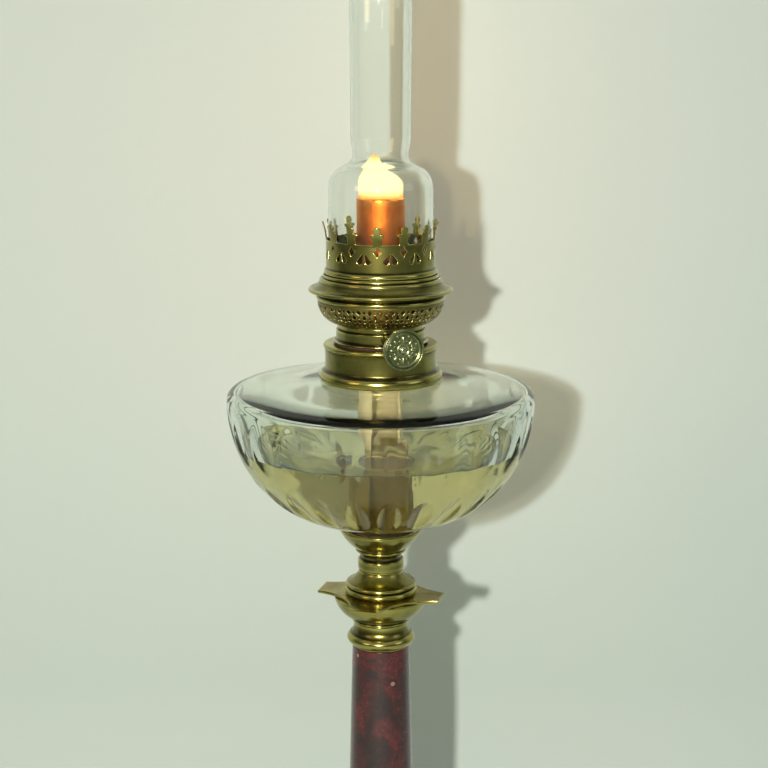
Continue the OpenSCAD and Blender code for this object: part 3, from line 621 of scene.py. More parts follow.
@dataclass(frozen=True)
class WovenCotton(Finish):
    """Braided cotton wick: cream below, charred brown-black at the burning edge."""

    yarn: str = "#CFC5A4"
    soaked: str = "#6A6238"
    char: str = "#100C08"
    burnt_from: float = 0.0
    soaked_to: float = 0.0
    stitch_mm: float = 1.1

    def shader(self, tree: bpy.types.NodeTree) -> bpy.types.NodeSocket:
        """Slanted ribs on the UV map for the braid, colour by height for oil and char."""
        flat = add_node(tree, "ShaderNodeUVMap", uv_map="cloth").outputs["UV"]
        place = add_node(tree, "ShaderNodeTexCoord").outputs["Object"]
        ribs = add_node(tree, "ShaderNodeTexWave", {
            "Vector": add_node(tree, "ShaderNodeMapping", {
                "Vector": flat, "Rotation": (0, 0, 0.6)}).outputs[0],
            "Scale": 1 / (self.stitch_mm * MM) / 20, "Distortion": 1.5, "Detail": 2})
        height = add_node(tree, "ShaderNodeSeparateXYZ", {0: place}).outputs["Z"]
        wet = add_node(tree, "ShaderNodeMapRange", {
            "Value": height, "From Min": (self.soaked_to - 4) * MM,
            "From Max": (self.soaked_to + 14) * MM, "To Min": 0.0, "To Max": 0.5})
        burnt = add_node(tree, "ShaderNodeMapRange", {
            "Value": height, "From Min": self.burnt_from * MM,
            "From Max": (self.burnt_from + 2) * MM, "To Min": 0.0, "To Max": 0.5})
        total = add_node(tree, "ShaderNodeMath", {
            0: wet.outputs["Result"], 1: burnt.outputs["Result"]}, operation="ADD")
        colour = add_node(tree, "ShaderNodeValToRGB", {"Fac": total.outputs[0]}, stops=[
            (0.0, self.soaked), (0.5, self.yarn), (0.95, self.char)])
        bump = add_node(tree, "ShaderNodeBump", {
            "Height": ribs.outputs["Fac"], "Strength": 0.6, "Distance": 0.25 * MM})
        cloth = add_node(tree, "ShaderNodeBsdfPrincipled", {
            "Base Color": colour.outputs["Color"], "Roughness": 0.9,
            "Sheen Weight": 0.3, "Normal": bump.outputs["Normal"]})
        return cloth.outputs["BSDF"]


@dataclass(frozen=True)
class PlainMatter(Finish):
    """A dull material with a fine grain: felt, plaster, fibre."""

    light: str = "#3E5A48"
    dark: str = "#24382C"
    grain_mm: float = 0.8
    rough: float = 0.95
    sheen: float = 0.0
    depth_mm: float = 0.2

    def shader(self, tree: bpy.types.NodeTree) -> bpy.types.NodeSocket:
        """Fine noise in colour and height; a nap also has sheen."""
        place = add_node(tree, "ShaderNodeTexCoord").outputs["Object"]
        grain = add_node(tree, "ShaderNodeTexNoise", {
            "Vector": place, "Scale": 1 / (self.grain_mm * MM), "Detail": 4})
        colour = add_node(tree, "ShaderNodeValToRGB", {"Fac": grain.outputs["Fac"]}, stops=[
            (0.35, self.dark), (0.65, self.light)])
        bump = add_node(tree, "ShaderNodeBump", {
            "Height": grain.outputs["Fac"], "Strength": 0.5, "Distance": self.depth_mm * MM})
        matter = add_node(tree, "ShaderNodeBsdfPrincipled", {
            "Base Color": colour.outputs["Color"], "Roughness": self.rough,
            "Sheen Weight": self.sheen, "Normal": bump.outputs["Normal"]})
        return matter.outputs["BSDF"]


@dataclass(frozen=True)
class TurnedSteel(Finish):
    """Bright drawn steel with faint lines and brown spots of old rust."""

    bright: str = "#B4B4B0"
    spot: str = "#6A5038"
    spot_mm: float = 5.0

    def shader(self, tree: bpy.types.NodeTree) -> bpy.types.NodeSocket:
        """Steel where the noise is low, spots where it is high."""
        place = add_node(tree, "ShaderNodeTexCoord").outputs["Object"]
        spots = add_node(tree, "ShaderNodeTexNoise", {
            "Vector": place, "Scale": 1 / (self.spot_mm * MM), "Detail": 6})
        colour = add_node(tree, "ShaderNodeValToRGB", {"Fac": spots.outputs["Fac"]}, stops=[
            (0.55, self.bright), (0.75, self.spot)])
        rough = add_node(tree, "ShaderNodeMapRange", {
            "Value": spots.outputs["Fac"], "From Min": 0.4, "From Max": 0.8,
            "To Min": 0.25, "To Max": 0.6})
        metal = add_node(tree, "ShaderNodeBsdfPrincipled", {
            "Base Color": colour.outputs["Color"], "Metallic": 1.0,
            "Roughness": rough.outputs["Result"]})
        return metal.outputs["BSDF"]


@dataclass(frozen=True)
class Flame(Finish):
    """The burning sheet above the wick: white-yellow body, orange edge at foot and tip."""

    foot: str = "#FF9A30"
    heart: str = "#FFE9A0"
    tip: str = "#FF9830"
    strength: float = 2.0
    foot_z: float = 0.0
    height: float = 20.0

    def shader(self, tree: bpy.types.NodeTree) -> bpy.types.NodeSocket:
        """Light whose colour changes with the height above the wick, thin at its edges."""
        place = add_node(tree, "ShaderNodeTexCoord").outputs["Object"]
        share = add_node(tree, "ShaderNodeMapRange", {
            "Value": add_node(tree, "ShaderNodeSeparateXYZ", {0: place}).outputs["Z"],
            "From Min": self.foot_z * MM, "From Max": (self.foot_z + self.height) * MM})
        colour = add_node(tree, "ShaderNodeValToRGB", {"Fac": share.outputs["Result"]}, stops=[
            (0.0, self.foot), (0.18, self.heart), (0.75, self.heart), (1.0, self.tip)])
        light = add_node(tree, "ShaderNodeEmission", {
            "Color": colour.outputs["Color"], "Strength": self.strength})
        edge = add_node(tree, "ShaderNodeMapRange", {
            "Value": add_node(tree, "ShaderNodeLayerWeight", {"Blend": 0.5}).outputs["Facing"],
            "From Min": 0.35, "From Max": 0.95})
        soft = add_node(tree, "ShaderNodeMixShader", {
            0: edge.outputs["Result"], 1: light.outputs["Emission"],
            2: add_node(tree, "ShaderNodeBsdfTransparent").outputs[0]})
        return soft.outputs["Shader"]


SPUN = AgedBrass("spun_aged_brass")
DARK = AgedBrass("dark_aged_brass", clean="#94854A", patina="#4F4C22", grime="#1A1A0C",
                 smooth=0.26, dull=0.5, coat=0.12)
CAST = CastBrass("cast_polished_brass")
KNOB = CastBrass("stamped_grey_brass", clean="#B4B58C", patina="#7C8258", grime="#2A2E1A",
                 stain_mm=4.0)
# Painted light: this brass is coloured orange to stand in for the flame's glow reflected off the plain
# brass wick tube, a painted reflection rather than a colour of the metal.
FLAME_LIGHT_PAINTED_BRASS = AgedBrass("brass_painted_with_flame_light", clean="#F0963C", patina="#D0661E", grime="#6A2A10",
                smooth=0.25, dull=0.4, coat=0.0)
MARBLE = RedMarble("polished_red_marble")
BLOWN = ClearGlass("blown_chimney_glass", tint="#FAFCF9", shadow="#DED6CA", wave_mm=22.0)
CUT = ClearGlass("cut_font_glass", tint="#F1F6F0", index=1.33, shadow="#CDC4B6")
OIL = ClearGlass("clear_lamp_oil", tint="#D8CB92", index=1.44, shadow="#E0D8A8")
FELT = PlainMatter("pressed_wool_felt", sheen=0.5)
PLASTER = PlainMatter("dry_plaster", light="#D8D0BC", dark="#B8AE96", grain_mm=1.5, depth_mm=0.1)
FIBRE = PlainMatter("fibre_gasket", light="#4A362A", dark="#241812", grain_mm=0.6)
STEEL = TurnedSteel("drawn_steel")


def make_piece(name: str, mesh: bpy.types.Mesh, finish: Finish, body: Body,
               nodes: Sequence[str] = ()) -> bpy.types.Object:
    """Makes an object of a mesh, dresses it and ties it to the frame.

    Args:
        name: name of the piece.
        mesh: its mesh, with its place in it.
        finish: what it is finished in.
        body: the body that it rides on.
        nodes: the nodes of the frame that it stands for.

    Returns:
        The object.
    """
    piece = bpy.data.objects.new(name, mesh)
    bpy.context.scene.collection.objects.link(piece)
    mesh.materials.append(finish.material())
    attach(piece, body.value)
    if nodes:
        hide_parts(*nodes)
    log.info("%s: %d faces on %s", name, len(mesh.polygons), body.value)
    return piece


def dress(frame: dict, finish: Finish, *names: str) -> None:
    """Gives nodes of the frame that stay in view their finish."""
    for name in names:
        slots = frame["nodes"][name].data.materials
        slots.clear()
        slots.append(finish.material())
        log.info("%s: node of the frame in %s", name, finish.name)


@dataclass
class Foot:
    """The hollow square brass foot on its felt, the marble block and the turned base."""

    felt_hole: float = 22.0
    edge_h: float = 6.0
    tread_in: float = 3.0
    top_half: float = 52.0
    wall: float = 3.0
    chamfer: float = 1.5
    column_foot_r: float = 18.2
    bore: float = 3.4

    def build(self) -> None:
        """Builds and dresses the four pieces."""
        make_piece("felt_pad", mesh_of("felt_pad", [self.felt()]), FELT, Body.STAND,
                   ["base_felt"])
        make_piece("brass_foot", mesh_of("brass_foot", [self.casting()]), CAST, Body.STAND,
                   ["base_foot"])
        make_piece("marble_block", mesh_of("marble_block", [self.block()]), MARBLE, Body.STAND,
                   ["plinth_block"])
        make_piece("turned_base", mesh_of("turned_base", [self.base()]), SPUN, Body.STAND,
                   ["base_moulding"])

    def felt(self) -> Skin:
        """A square pad with a round hole.

        At the angle a the ring between hole and edge runs from the hole's radius to
        half / max(|cos a|, |sin a|); its section is a loop with soft corners.

        Returns:
            The closed skin of the pad.
        """
        span = Span.of("base_felt")
        half, t = span.radius, span.height
        a = np.arange(AROUND) / AROUND * 2 * np.pi
        edge = half / np.maximum(np.abs(np.cos(a)), np.abs(np.sin(a)))
        edge = np.minimum(edge, half * math.sqrt(2) - 1.2)
        loop = soften(np.array([[0, 0], [1, 0], [1, t], [0, t]], float) * [100, 1], 0.5, True)
        share = loop[:, :1] / 100
        r = self.felt_hole + (edge[None] - self.felt_hole) * share
        z = np.broadcast_to(loop[:, 1:] + span.foot, r.shape)
        return Skin(np.stack([r * np.cos(a), r * np.sin(a), z], -1), ring_rows=True)

    def casting(self) -> Skin:
        """The stepped foot: plain edge, tread, ogee and fillet, hollow from below."""
        span = Span.of("base_foot")
        half, h = span.radius, span.height
        tread = half - self.tread_in
        step_z, rise_z, top = self.edge_h + 1.5, h - 3.5, self.top_half
        middle = ((tread + top) / 2, (step_z + rise_z) / 2)
        inner = top - self.wall
        line = outline(
            (0, h - self.wall), (inner, h - self.wall), (inner, 0),
            (half, 0), (half, self.edge_h), (tread, self.edge_h), (tread, step_z),
            bow((tread - 1, step_z), middle, 1.2, 10), bow(middle, (top + 1.5, rise_z), -1.2, 10),
            (top + 1.5, rise_z + 1), (top, rise_z + 1), (top, h), (0, h))
        return square_round(refine(soften(line, 0.5, False), 4) + [0, span.foot], 0.8)

    def block(self) -> Skin:
        """The marble block with its edges chamfered."""
        span = Span.of("plinth_block")
        half, h, c = span.radius, span.height, self.chamfer
        line = outline((0, 0), (half - c, 0), (half, c), (half, h - c), (half - c, h), (0, h))
        return square_round(refine(soften(line, 0.3, False), 6) + [0, span.foot], c)

    def base(self) -> Skin:
        """Torus, hollow and upper ring under the column."""
        span = Span.of("base_moulding")
        h, foot_r = span.height, self.column_foot_r
        torus_h, upper_h, fillet = h * 0.36, h * 0.24, h * 0.07
        torus_r = span.radius - torus_h / 2
        waist, upper = foot_r + 3, foot_r + 5
        upper_z = h - fillet - upper_h
        line = outline(
            (self.bore, 0), bow((torus_r, 0), (torus_r, torus_h), torus_h / 2, 16),
            (torus_r - 1.5, torus_h + fillet),
            bow((waist + 3, torus_h + fillet), (waist + 1, upper_z - fillet), -1.6, 12),
            (upper, upper_z - fillet),
            bow((upper, upper_z), (upper, upper_z + upper_h), upper_h / 2, 14),
            (foot_r + 1.2, upper_z + upper_h), (foot_r + 1.2, h), (self.bore, h))
        return turned(line + [0, span.foot], closed=True)


@dataclass
class Column:
    """The marble shaft, which swells downward."""

    top_r: float = 14.7
    swell: float = 1.4
    bore: float = 3.4

    def build(self) -> None:
        """Builds the shaft: radius = top + (foot - top) * (1 - share ^ swell)."""
        span = Span.of("column")
        share = np.linspace(0, 1, 60)
        r = self.top_r + (span.radius - self.top_r) * (1 - share**self.swell)
        line = outline((self.bore, 0), np.stack([r, share * span.height], 1),
                       (self.bore, span.height))
        mesh = mesh_of("marble_column", [turned(line + [0, span.foot], closed=True, step=4)])
        make_piece("marble_column", mesh, MARBLE, Body.STAND, ["column"])


@dataclass
class Capital:
    """Torus ring, bowl, square plate with hollowed sides, and the belled cap."""

    column_r: float = 14.7
    necking: float = 14.0
    reach: float = 31.8
    corner_cut: float = 14.0
    waist: float = 21.5
    turn: float = 29.0
    ring_r: float = 18.4
    ring_h: float = 3.7
    groove_r: float = 10.9
    bore: float = 3.4

    def build(self) -> None:
        """Builds the four pieces."""
        for name, node, skin, finish in (
            ("turned_capital_ring", "capital_ring", self.ring(), SPUN),
            ("turned_capital_bowl", "capital_bowl", self.bowl(), SPUN),
            ("cut_abacus", "abacus_plate", self.plate(), CAST),
            ("turned_capital_cap", "capital_cap", self.cap(), SPUN),
        ):
            make_piece(name, mesh_of(name, [skin]), finish, Body.STAND, [node])

    def ring(self) -> Skin:
        """A bead on the marble, the torus, and the necking that draws in above it."""
        span = Span.of("capital_ring")
        h, torus = span.height, span.radius
        torus_h, low = h * 0.4, h * 0.12
        line = outline(
            (self.bore, 0), bow((self.column_r - 0.3, 0), (self.column_r + 0.4, low), 0.3, 6),
            bow((torus - 1.5, low), (torus - 1.6, low + torus_h), 1.5, 18),
            bow((torus - 2, low + torus_h), (self.necking, h - 1.5), -0.5, 10),
            (self.necking, h), (self.bore, h))
        return turned(line + [0, span.foot], closed=True)

    def bowl(self) -> Skin:
        """A ring at the neck and the bowl that spreads under the plate."""
        span = Span.of("capital_bowl")
        h, rim, neck, lip = span.height, span.radius, self.necking, 1.2
        line = outline(
            (self.bore, 0), (neck - 0.4, 0), (neck - 0.4, 0.4),
            bow((neck + 0.6, 0.4), (neck + 0.6, lip + 0.4), 0.4, 8),
            bow((neck + 0.4, lip + 0.6), (rim, h - 1.2), 1.7, 20), (rim, h), (self.bore, h))
        return turned(line + [0, span.foot], closed=True)

    def plate(self) -> Skin:
        """The square plate, whose sides are hollowed and whose corners are cut.

        In the quarter of each side, the distance at the angle a is the nearer of the cut
        corner, reach / cos(a - 45), and the hollow, c cos a - sqrt(s^2 - c^2 sin^2 a), where
        s is the radius of the side's arc and c the distance of its centre.

        Returns:
            The closed skin of the plate.
        """
        span = Span.of("abacus_plate")
        far = (self.reach + self.corner_cut / 2) / math.sqrt(2)
        near = (self.reach - self.corner_cut / 2) / math.sqrt(2)
        sag = far - self.waist
        arc = (near**2 + sag**2) / (2 * sag)
        centre = self.waist + arc
        corner = math.degrees(math.atan2(near, far))
        quarter = np.union1d(np.linspace(-45, 45, 61), [-corner, corner])[:-1]
        a = np.radians(quarter)
        hollow = centre * np.cos(a) - np.sqrt(
            np.maximum(arc**2 - (centre * np.sin(a)) ** 2, 0))
        cut = self.reach / np.cos(np.radians(45) - np.abs(a))
        r = np.where(np.abs(quarter) <= corner + 1e-9, hollow, cut)
        turn = (np.arange(4) * 90 + self.turn)[:, None]
        angle = np.radians((quarter[None] + turn).ravel())
        r = np.tile(r, 4)
        t, edge = span.height, 0.3
        rows_r = np.stack([
            np.full_like(r, self.bore), r - edge, r, r, r - edge,
            np.full_like(r, self.bore)])
        rows_z = np.array([0, 0, edge, t - edge, t, t])[:, None] + span.foot
        grid = np.stack([rows_r * np.cos(angle), rows_r * np.sin(angle),
                         np.broadcast_to(rows_z, rows_r.shape)], -1)
        wear = np.array([0, 0.2, 0.8, 0.8, 0.2, 0])
        return Skin(grid, ring_rows=True, wear=wear)

    def cap(self) -> Skin:
        """Two rings on the plate and the bell that draws in to the stem."""
        span = Span.of("capital_cap")
        h, ring, low = span.height, self.ring_r, self.ring_h
        lip_z, lip_h, bell = low + 0.4, 1.9, self.ring_r - 0.9
        line = outline(
            (self.bore, 0), (ring - 1.2, 0),
            bow((ring - 0.9, 0.3), (ring - 0.9, low - 0.3), 0.9, 14),
            (ring - 1.6, low), (ring - 1.6, lip_z),
            bow((bell, lip_z), (bell, lip_z + lip_h), 0.5, 10),
            bow((bell - 0.6, lip_z + lip_h), (self.groove_r + 0.4, h - 0.6), -0.7, 16),
            (self.groove_r + 0.4, h), (self.bore, h))
        return turned(line + [0, span.foot], closed=True)


@dataclass
class StemAndCup:
    """The banded stem and the cup that holds the glass."""

    groove_r: float = 10.9
    band_r: float = 11.7
    band_h: float = 5.4
    lip_r: float = 13.0
    wall: float = 1.4
    bore: float = 3.4

    def build(self) -> None:
        """Builds stem and cup."""
        make_piece("turned_stem", mesh_of("turned_stem", [self.stem()]), SPUN, Body.STAND,
                   ["font_stem"])
        make_piece("spun_cup", mesh_of("spun_cup", [self.cup()]), SPUN, Body.STAND,
                   ["font_cup"])

    def stem(self) -> Skin:
        """Groove, plain band, waist and lip."""
        span = Span.of("font_stem")
        h, band, lip = span.height, self.band_r, self.lip_r
        band_z = 0.8 + self.band_h
        line = outline(
            (self.bore, 0), (self.groove_r, 0), (self.groove_r, 0.8), (band - 0.3, 0.8),
            (band, 1.3), (band, band_z - 0.5), (band - 0.4, band_z), (band - 1.3, band_z + 0.2),
            bow((band - 1.3, band_z + 0.8), (lip - 0.4, h - 1.1), -0.5, 12),
            bow((lip - 0.2, h - 1.1), (lip - 0.2, h), 0.2, 6), (self.bore, h))
        return turned(line + [0, span.foot], closed=True)

    def cup(self) -> Skin:
        """The cup with its rolled rim, open above."""
        span = Span.of("font_cup")
        h, rim, inner = span.height, span.radius, span.radius - self.wall
        line = outline(
            (self.bore, 0), (self.lip_r - 0.6, 0),
            bow((self.lip_r - 0.2, 0.3), (rim - 0.3, h - 1.6), 0.7, 18),
            (rim, h - 1.3), (rim, h - 0.3), (rim - 0.3, h), (inner, h), (inner, h - 3.2),
            (self.lip_r - 1.4, 2), (self.bore, 2))
        return turned(line + [0, span.foot], closed=True)


@dataclass
class Cut:
    """One ring of ground cuts round the font.

    Attributes:
        angle: where on the body curve the middle of a cut lies, in degrees below the widest part.
        depth: depth of the cut.
        stone: radius of the grindstone.
        turn: direction of one cut from the front, in degrees.
    """

    angle: float
    depth: float
    stone: float
    turn: float


@dataclass
class Font:
    """The cut-glass font and the oil in it."""

    count: int = 24
    wall: float = 4.5
    floor: float = 6.0
    foot_h: float = 9.0
    flat_r: float = 21.0
    body_h: float = 62.5
    shoulder_h: float = 4.4
    shoulder_in: float = 3.1
    rise: float = 5.1
    ring_r: float = 30.7
    neck_out: float = 24.5
    neck_in: float = 19.5
    oil_h: float = 40.0
    first: float = -3.7
    per_cut: int = 26
    arris: float = 0.12

    def __post_init__(self) -> None:
        """Reads the heights from the frame."""
        span = Span.of("font")
        self.wide_r = span.radius
        self.foot_z, self.neck_z = span.foot, span.top
        self.under_z = self.foot_z + self.foot_h
        self.wide_z = self.under_z + self.body_h
        self.edge_r = self.wide_r - self.shoulder_in
        self.edge_z = self.wide_z + self.shoulder_h
        self.collar_z = self.edge_z + self.rise
        self.foot_r = Span.of("font_cup").radius - 2.3

    def build(self) -> None:
        """Builds glass and oil."""
        make_piece("cut_glass_font", mesh_of("cut_glass_font", [self.glass()]), CUT,
                   Body.STAND, ["font"])
        make_piece("oil_in_font", mesh_of("oil_in_font", [self.oil()]), OIL,
                   Body.STAND, ["lamp_oil"])

    def top_z(self, r: float) -> float:
        """Height of the top face, which rises evenly from the edge to the collar."""
        return self.collar_z - self.rise * (r - self.ring_r) / (self.edge_r - self.ring_r)

    def body(self, inset: float, depth: float, steps: int) -> np.ndarray:
        """The body curve from the underside up: flat + (wide - flat) cos a, wide_z - depth sin a."""
        a = np.radians(np.linspace(90, 0, steps + 1))
        across = self.wide_r - inset - self.flat_r
        return np.stack([self.flat_r + across * np.cos(a), self.wide_z - depth * np.sin(a)], 1)

    def inside(self, grow: float, steps: int) -> np.ndarray:
        """Inside of the glass from the floor's middle up to the neck, moved outwards by grow."""
        edge = self.edge_r - self.wall + 1.5 + grow
        slope = self.neck_in + 3
        return outline(
            (0, self.under_z + self.floor - grow),
            self.body(self.wall - grow, self.body_h - self.floor + grow, steps),
            (edge, self.top_z(self.edge_r) - self.wall + 1 + grow),
            (slope, self.top_z(slope) - self.wall + grow),
            (self.neck_in + grow, self.top_z(self.neck_in) - self.wall + 2))

    def glass(self) -> Skin:
        """The glass: outside with its cuts, top face, neck, and the smooth inside."""
        low = outline((0, self.foot_z), (self.foot_r, self.foot_z), (self.foot_r, self.under_z))
        body = self.body(0, self.body_h, 84)
        shoulder = bow((self.wide_r, self.wide_z + 0.6), (self.edge_r, self.edge_z), 0.7, 7)
        top = outline((self.ring_r + 14, self.top_z(self.ring_r + 14)),
                      (self.neck_out, self.top_z(self.neck_out)),
                      (self.neck_out, self.neck_z), (self.neck_in, self.neck_z))
        inside = soften(self.inside(0, 26), 2.0, False)[::-1]
        line = np.vstack([low, body, shoulder, top, inside])
        skin = revolve(line, columns=self.count * self.per_cut)
        rows = slice(len(low), len(low) + len(body))
        for cut in self.cuts():
            skin.points[rows] = self.ground(skin.points[rows], cut)
        skin.wear = None
        return skin

    def cuts(self) -> list[Cut]:
        """The tall upper cuts, and the lower ones half a step further round."""
        return [Cut(14.0, 1.5, 32.0, self.first),
                Cut(49.0, 1.7, 11.0, self.first + 180 / self.count)]

    def ground(self, points: np.ndarray, cut: Cut) -> np.ndarray:
        """Grinds a ring of cuts into the body.

        A stone is a cylinder laid along the curve. In the plane across it, with w1 measured
        outwards along the body's normal from the stone's axis and w2 sideways, a point inside
        the stone moves inwards by d = w1 + sqrt(stone^2 - w2^2). A soft maximum of d and 0
        leaves the polished arris a little round.

        Args:
            points: rows by columns of points on the body.
            cut: the ring of cuts.

        Returns:
            The moved points.
        """
        a = math.radians(cut.angle)
        across = self.wide_r - self.flat_r
        tilt = math.atan2(across * math.sin(a), self.body_h * math.cos(a))
        off = cut.stone - cut.depth
        axis_r = self.flat_r + across * math.cos(a) + off * math.cos(tilt)
        axis_z = self.wide_z - self.body_h * math.sin(a) - off * math.sin(tilt)
        pitch = 2 * np.pi / self.count
        angle = np.arctan2(points[..., 1], points[..., 0])
        start = math.radians(cut.turn - 90)
        middle = start + np.round((angle - start) / pitch) * pitch
        r = np.hypot(points[..., 0], points[..., 1])
        x, y = r * np.cos(angle - middle), r * np.sin(angle - middle)
        z = points[..., 2]
        w1 = (x - axis_r) * math.cos(tilt) - (z - axis_z) * math.sin(tilt)
        reach = np.sqrt(np.maximum(cut.stone**2 - y**2, 0))
        d = np.where(np.abs(y) < cut.stone, w1 + reach, -1.0)
        d = (d + np.sqrt(d**2 + self.arris**2)) / 2 * (d > -2)
        x, z = x - d * math.cos(tilt), z + d * math.sin(tilt)
        return np.stack([x * np.cos(middle) - y * np.sin(middle),
                         x * np.sin(middle) + y * np.cos(middle), z], -1)

    def oil(self) -> Skin:
        """The oil, a hair inside the glass wall's face, with its edge drawn up the glass."""
        level = self.under_z + self.oil_h
        wall = self.inside(0.15, 60)
        below = wall[wall[:, 1] < level - 0.6]
        edge_r = float(np.interp(level, wall[:60, 1], wall[:60, 0]))
        line = outline(below, (edge_r, level + 0.5),
                       bow((edge_r - 0.2, level + 0.5), (edge_r - 3.2, level - 0.15), 0.35, 8),
                       (0, level - 0.2))
        return revolve(refine(line, 3.0))


@dataclass
class Collar:
    """The turned collar cemented on the glass, with its threaded mouth."""

    wall_r: float = 27.9
    sheet: float = 0.8
    thread_r: float = 18.1
    thread_h: float = 9.5
    mouth_r: float = 19.3
    foot_h: float = 4.6
    seat: float = 0.06

    def build(self) -> None:
        """Builds the collar."""
        span = Span.of("font_collar")
        h, ring, wall = span.height, span.radius, self.wall_r
        inner, lip = wall - self.sheet, self.thread_r
        line = outline(
            (ring - 0.5, self.seat), bow((ring - 0.3, 0.4), (ring - 0.3, self.foot_h - 0.8), 0.3, 10),
            bow((ring - 0.8, self.foot_h), (wall, self.foot_h + 2), -0.5, 10),
            bow((wall, self.foot_h + 2.4), (wall + 0.1, h - 2.6), -0.15, 10),
            bow((wall + 0.5, h - 2), (wall + 0.5, h - 0.4), 0.3, 8), (wall, h),
            (lip, h), (lip, h - self.thread_h), (self.mouth_r, h - self.thread_h),
            (self.mouth_r, h - self.sheet), (inner, h - self.sheet), (inner, self.foot_h),
            (ring - 1.5, self.foot_h - 1), (ring - 1.5, 0.2))
        mesh = mesh_of("turned_collar", [turned(line + [0, span.foot], closed=True)])
        make_piece("turned_collar", mesh, SPUN, Body.STAND, ["font_collar"])


def circle(x: np.ndarray, y: np.ndarray, radius: float) -> np.ndarray:
    """Distance to a circle round 0, below 0 inside."""
    return np.hypot(x, y) - radius


def block(x: np.ndarray, y: np.ndarray, half_x: float, half_y: float) -> np.ndarray:
    """Distance to an upright rectangle round 0, below 0 inside."""
    dx, dy = np.abs(x) - half_x, np.abs(y) - half_y
    return np.hypot(dx.clip(0), dy.clip(0)) + np.maximum(dx, dy).clip(None, 0)


def star(x: np.ndarray, y: np.ndarray, half_x: float, half_y: float) -> np.ndarray:
    """A four-pointed star with hollow sides: (|x/w|^p + |y/h|^p)^(1/p) - 1 with p under 1."""
    p = 0.72
    shape = (np.abs(x / half_x) ** p + np.abs(y / half_y) ** p) ** (1 / p)
    return (shape - 1) * min(half_x, half_y) * 0.5


def drop(x: np.ndarray, y: np.ndarray, start: Sequence[float], end: Sequence[float],
         radii: Sequence[float]) -> np.ndarray:
    """Distance to a drop: a line from start to end whose radius goes from the first to the second."""
    wx, wy = end[0] - start[0], end[1] - start[1]
    t = np.clip(((x - start[0]) * wx + (y - start[1]) * wy) / (wx**2 + wy**2), 0, 1)
    gap = np.hypot(x - start[0] - t * wx, y - start[1] - t * wy)
    return gap - radii[0] - t * (radii[1] - radii[0])


@dataclass
class PiercedSheet:
    """A spun sheet with a pattern cut through it.

    Attributes:
        line: its outline, with the body on the left.
        pattern: gives for arrays of angle in radians, radius and height along the outline a
            value in millimetres that is below 0 where metal stays.
        cell: size of the grid.
    """

    line: np.ndarray
    pattern: Callable[[np.ndarray, np.ndarray, np.ndarray], np.ndarray]
    cell: float = 0.4

    def mesh(self, name: str) -> bpy.types.Mesh:
        """The sheet without thickness: faces whose middle is metal, edges drawn to the cut.

        A point between a kept and a dropped face moves along the pattern's slope by
        value / slope^2, a few times, until the value is 0 there.

        Args:
            name: name of the mesh.

        Returns:
            The mesh.
        """
        line = self.even()
        columns = int(round(2 * np.pi * line[:, 0].max() / self.cell))
        s, a = np.meshgrid(lengths(line), np.arange(columns) / columns * 2 * np.pi, indexing="ij")
        rows = len(line)
        across, along = Skin(np.zeros((rows, columns, 3))).corners()
        middle_s = s[:, 0][across].mean(1)
        middle_a = (along.mean(1)) / columns * 2 * np.pi
        kept = self.value(middle_a, middle_s, line) < 0
        faces = across * columns + along % columns
        metal, cut = np.zeros(rows * columns, bool), np.zeros(rows * columns, bool)
        metal[faces[kept].ravel()] = True
        cut[faces[~kept].ravel()] = True
        edge = metal & cut
        s, a = s.ravel(), a.ravel()
        s[edge], a[edge] = self.drawn(s[edge], a[edge], line)
        r, z = self.at(s, line)
        used = np.flatnonzero(metal)
        number = np.full(rows * columns, -1)
        number[used] = np.arange(len(used))
        points = np.stack([r * np.cos(a), r * np.sin(a), z], -1)[used]
        worn = np.where(edge[used], 0.35, np.interp(s[used], lengths(line), wear_along(line, False)))
        return fill_mesh(name, points, number[faces[kept]], worn)

    def even(self) -> np.ndarray:
        """The outline with points one cell apart."""
        s = lengths(self.line)
        even = np.linspace(0, s[-1], int(round(s[-1] / self.cell)) + 1)
        return np.stack([np.interp(even, s, self.line[:, k]) for k in (0, 1)], axis=1)

    def at(self, s: np.ndarray, line: np.ndarray) -> tuple[np.ndarray, np.ndarray]:
        """Radius and height at a distance along the outline."""
        known = lengths(line)
        return np.interp(s, known, line[:, 0]), np.interp(s, known, line[:, 1])

    def value(self, a: np.ndarray, s: np.ndarray, line: np.ndarray) -> np.ndarray:
        """The pattern's value at an angle and a distance along the outline."""
        r, z = self.at(s, line)
        return self.pattern(a, r, z)

    def drawn(self, s: np.ndarray, a: np.ndarray, line: np.ndarray) -> tuple[np.ndarray, np.ndarray]:
        """Moves points to where the pattern's value is 0, at most 0.6 of a cell."""
        h = 0.05
        s0, a0 = s.copy(), a.copy()
        for _ in range(4):
            r, _z = self.at(s, line)
            here = self.value(a, s, line)
            slope_a = (self.value(a + h / r, s, line) - self.value(a - h / r, s, line)) / (2 * h)
            slope_s = (self.value(a, s + h, line) - self.value(a, s - h, line)) / (2 * h)
            step = here / (slope_a**2 + slope_s**2).clip(0.05)
            a = a - step * slope_a / r
            s = s - step * slope_s
        r, _z = self.at(s0, line)
        limit = 0.6 * self.cell
        a = a0 + np.clip(a - a0, -limit / r, limit / r)
        return s0 + np.clip(s - s0, -limit, limit), a


def solidify(piece: bpy.types.Object, thickness: float) -> None:
    """Gives a sheet its thickness towards the inside."""
    wall = piece.modifiers.new("sheet", "SOLIDIFY")
    wall.thickness, wall.offset = thickness * MM, -1


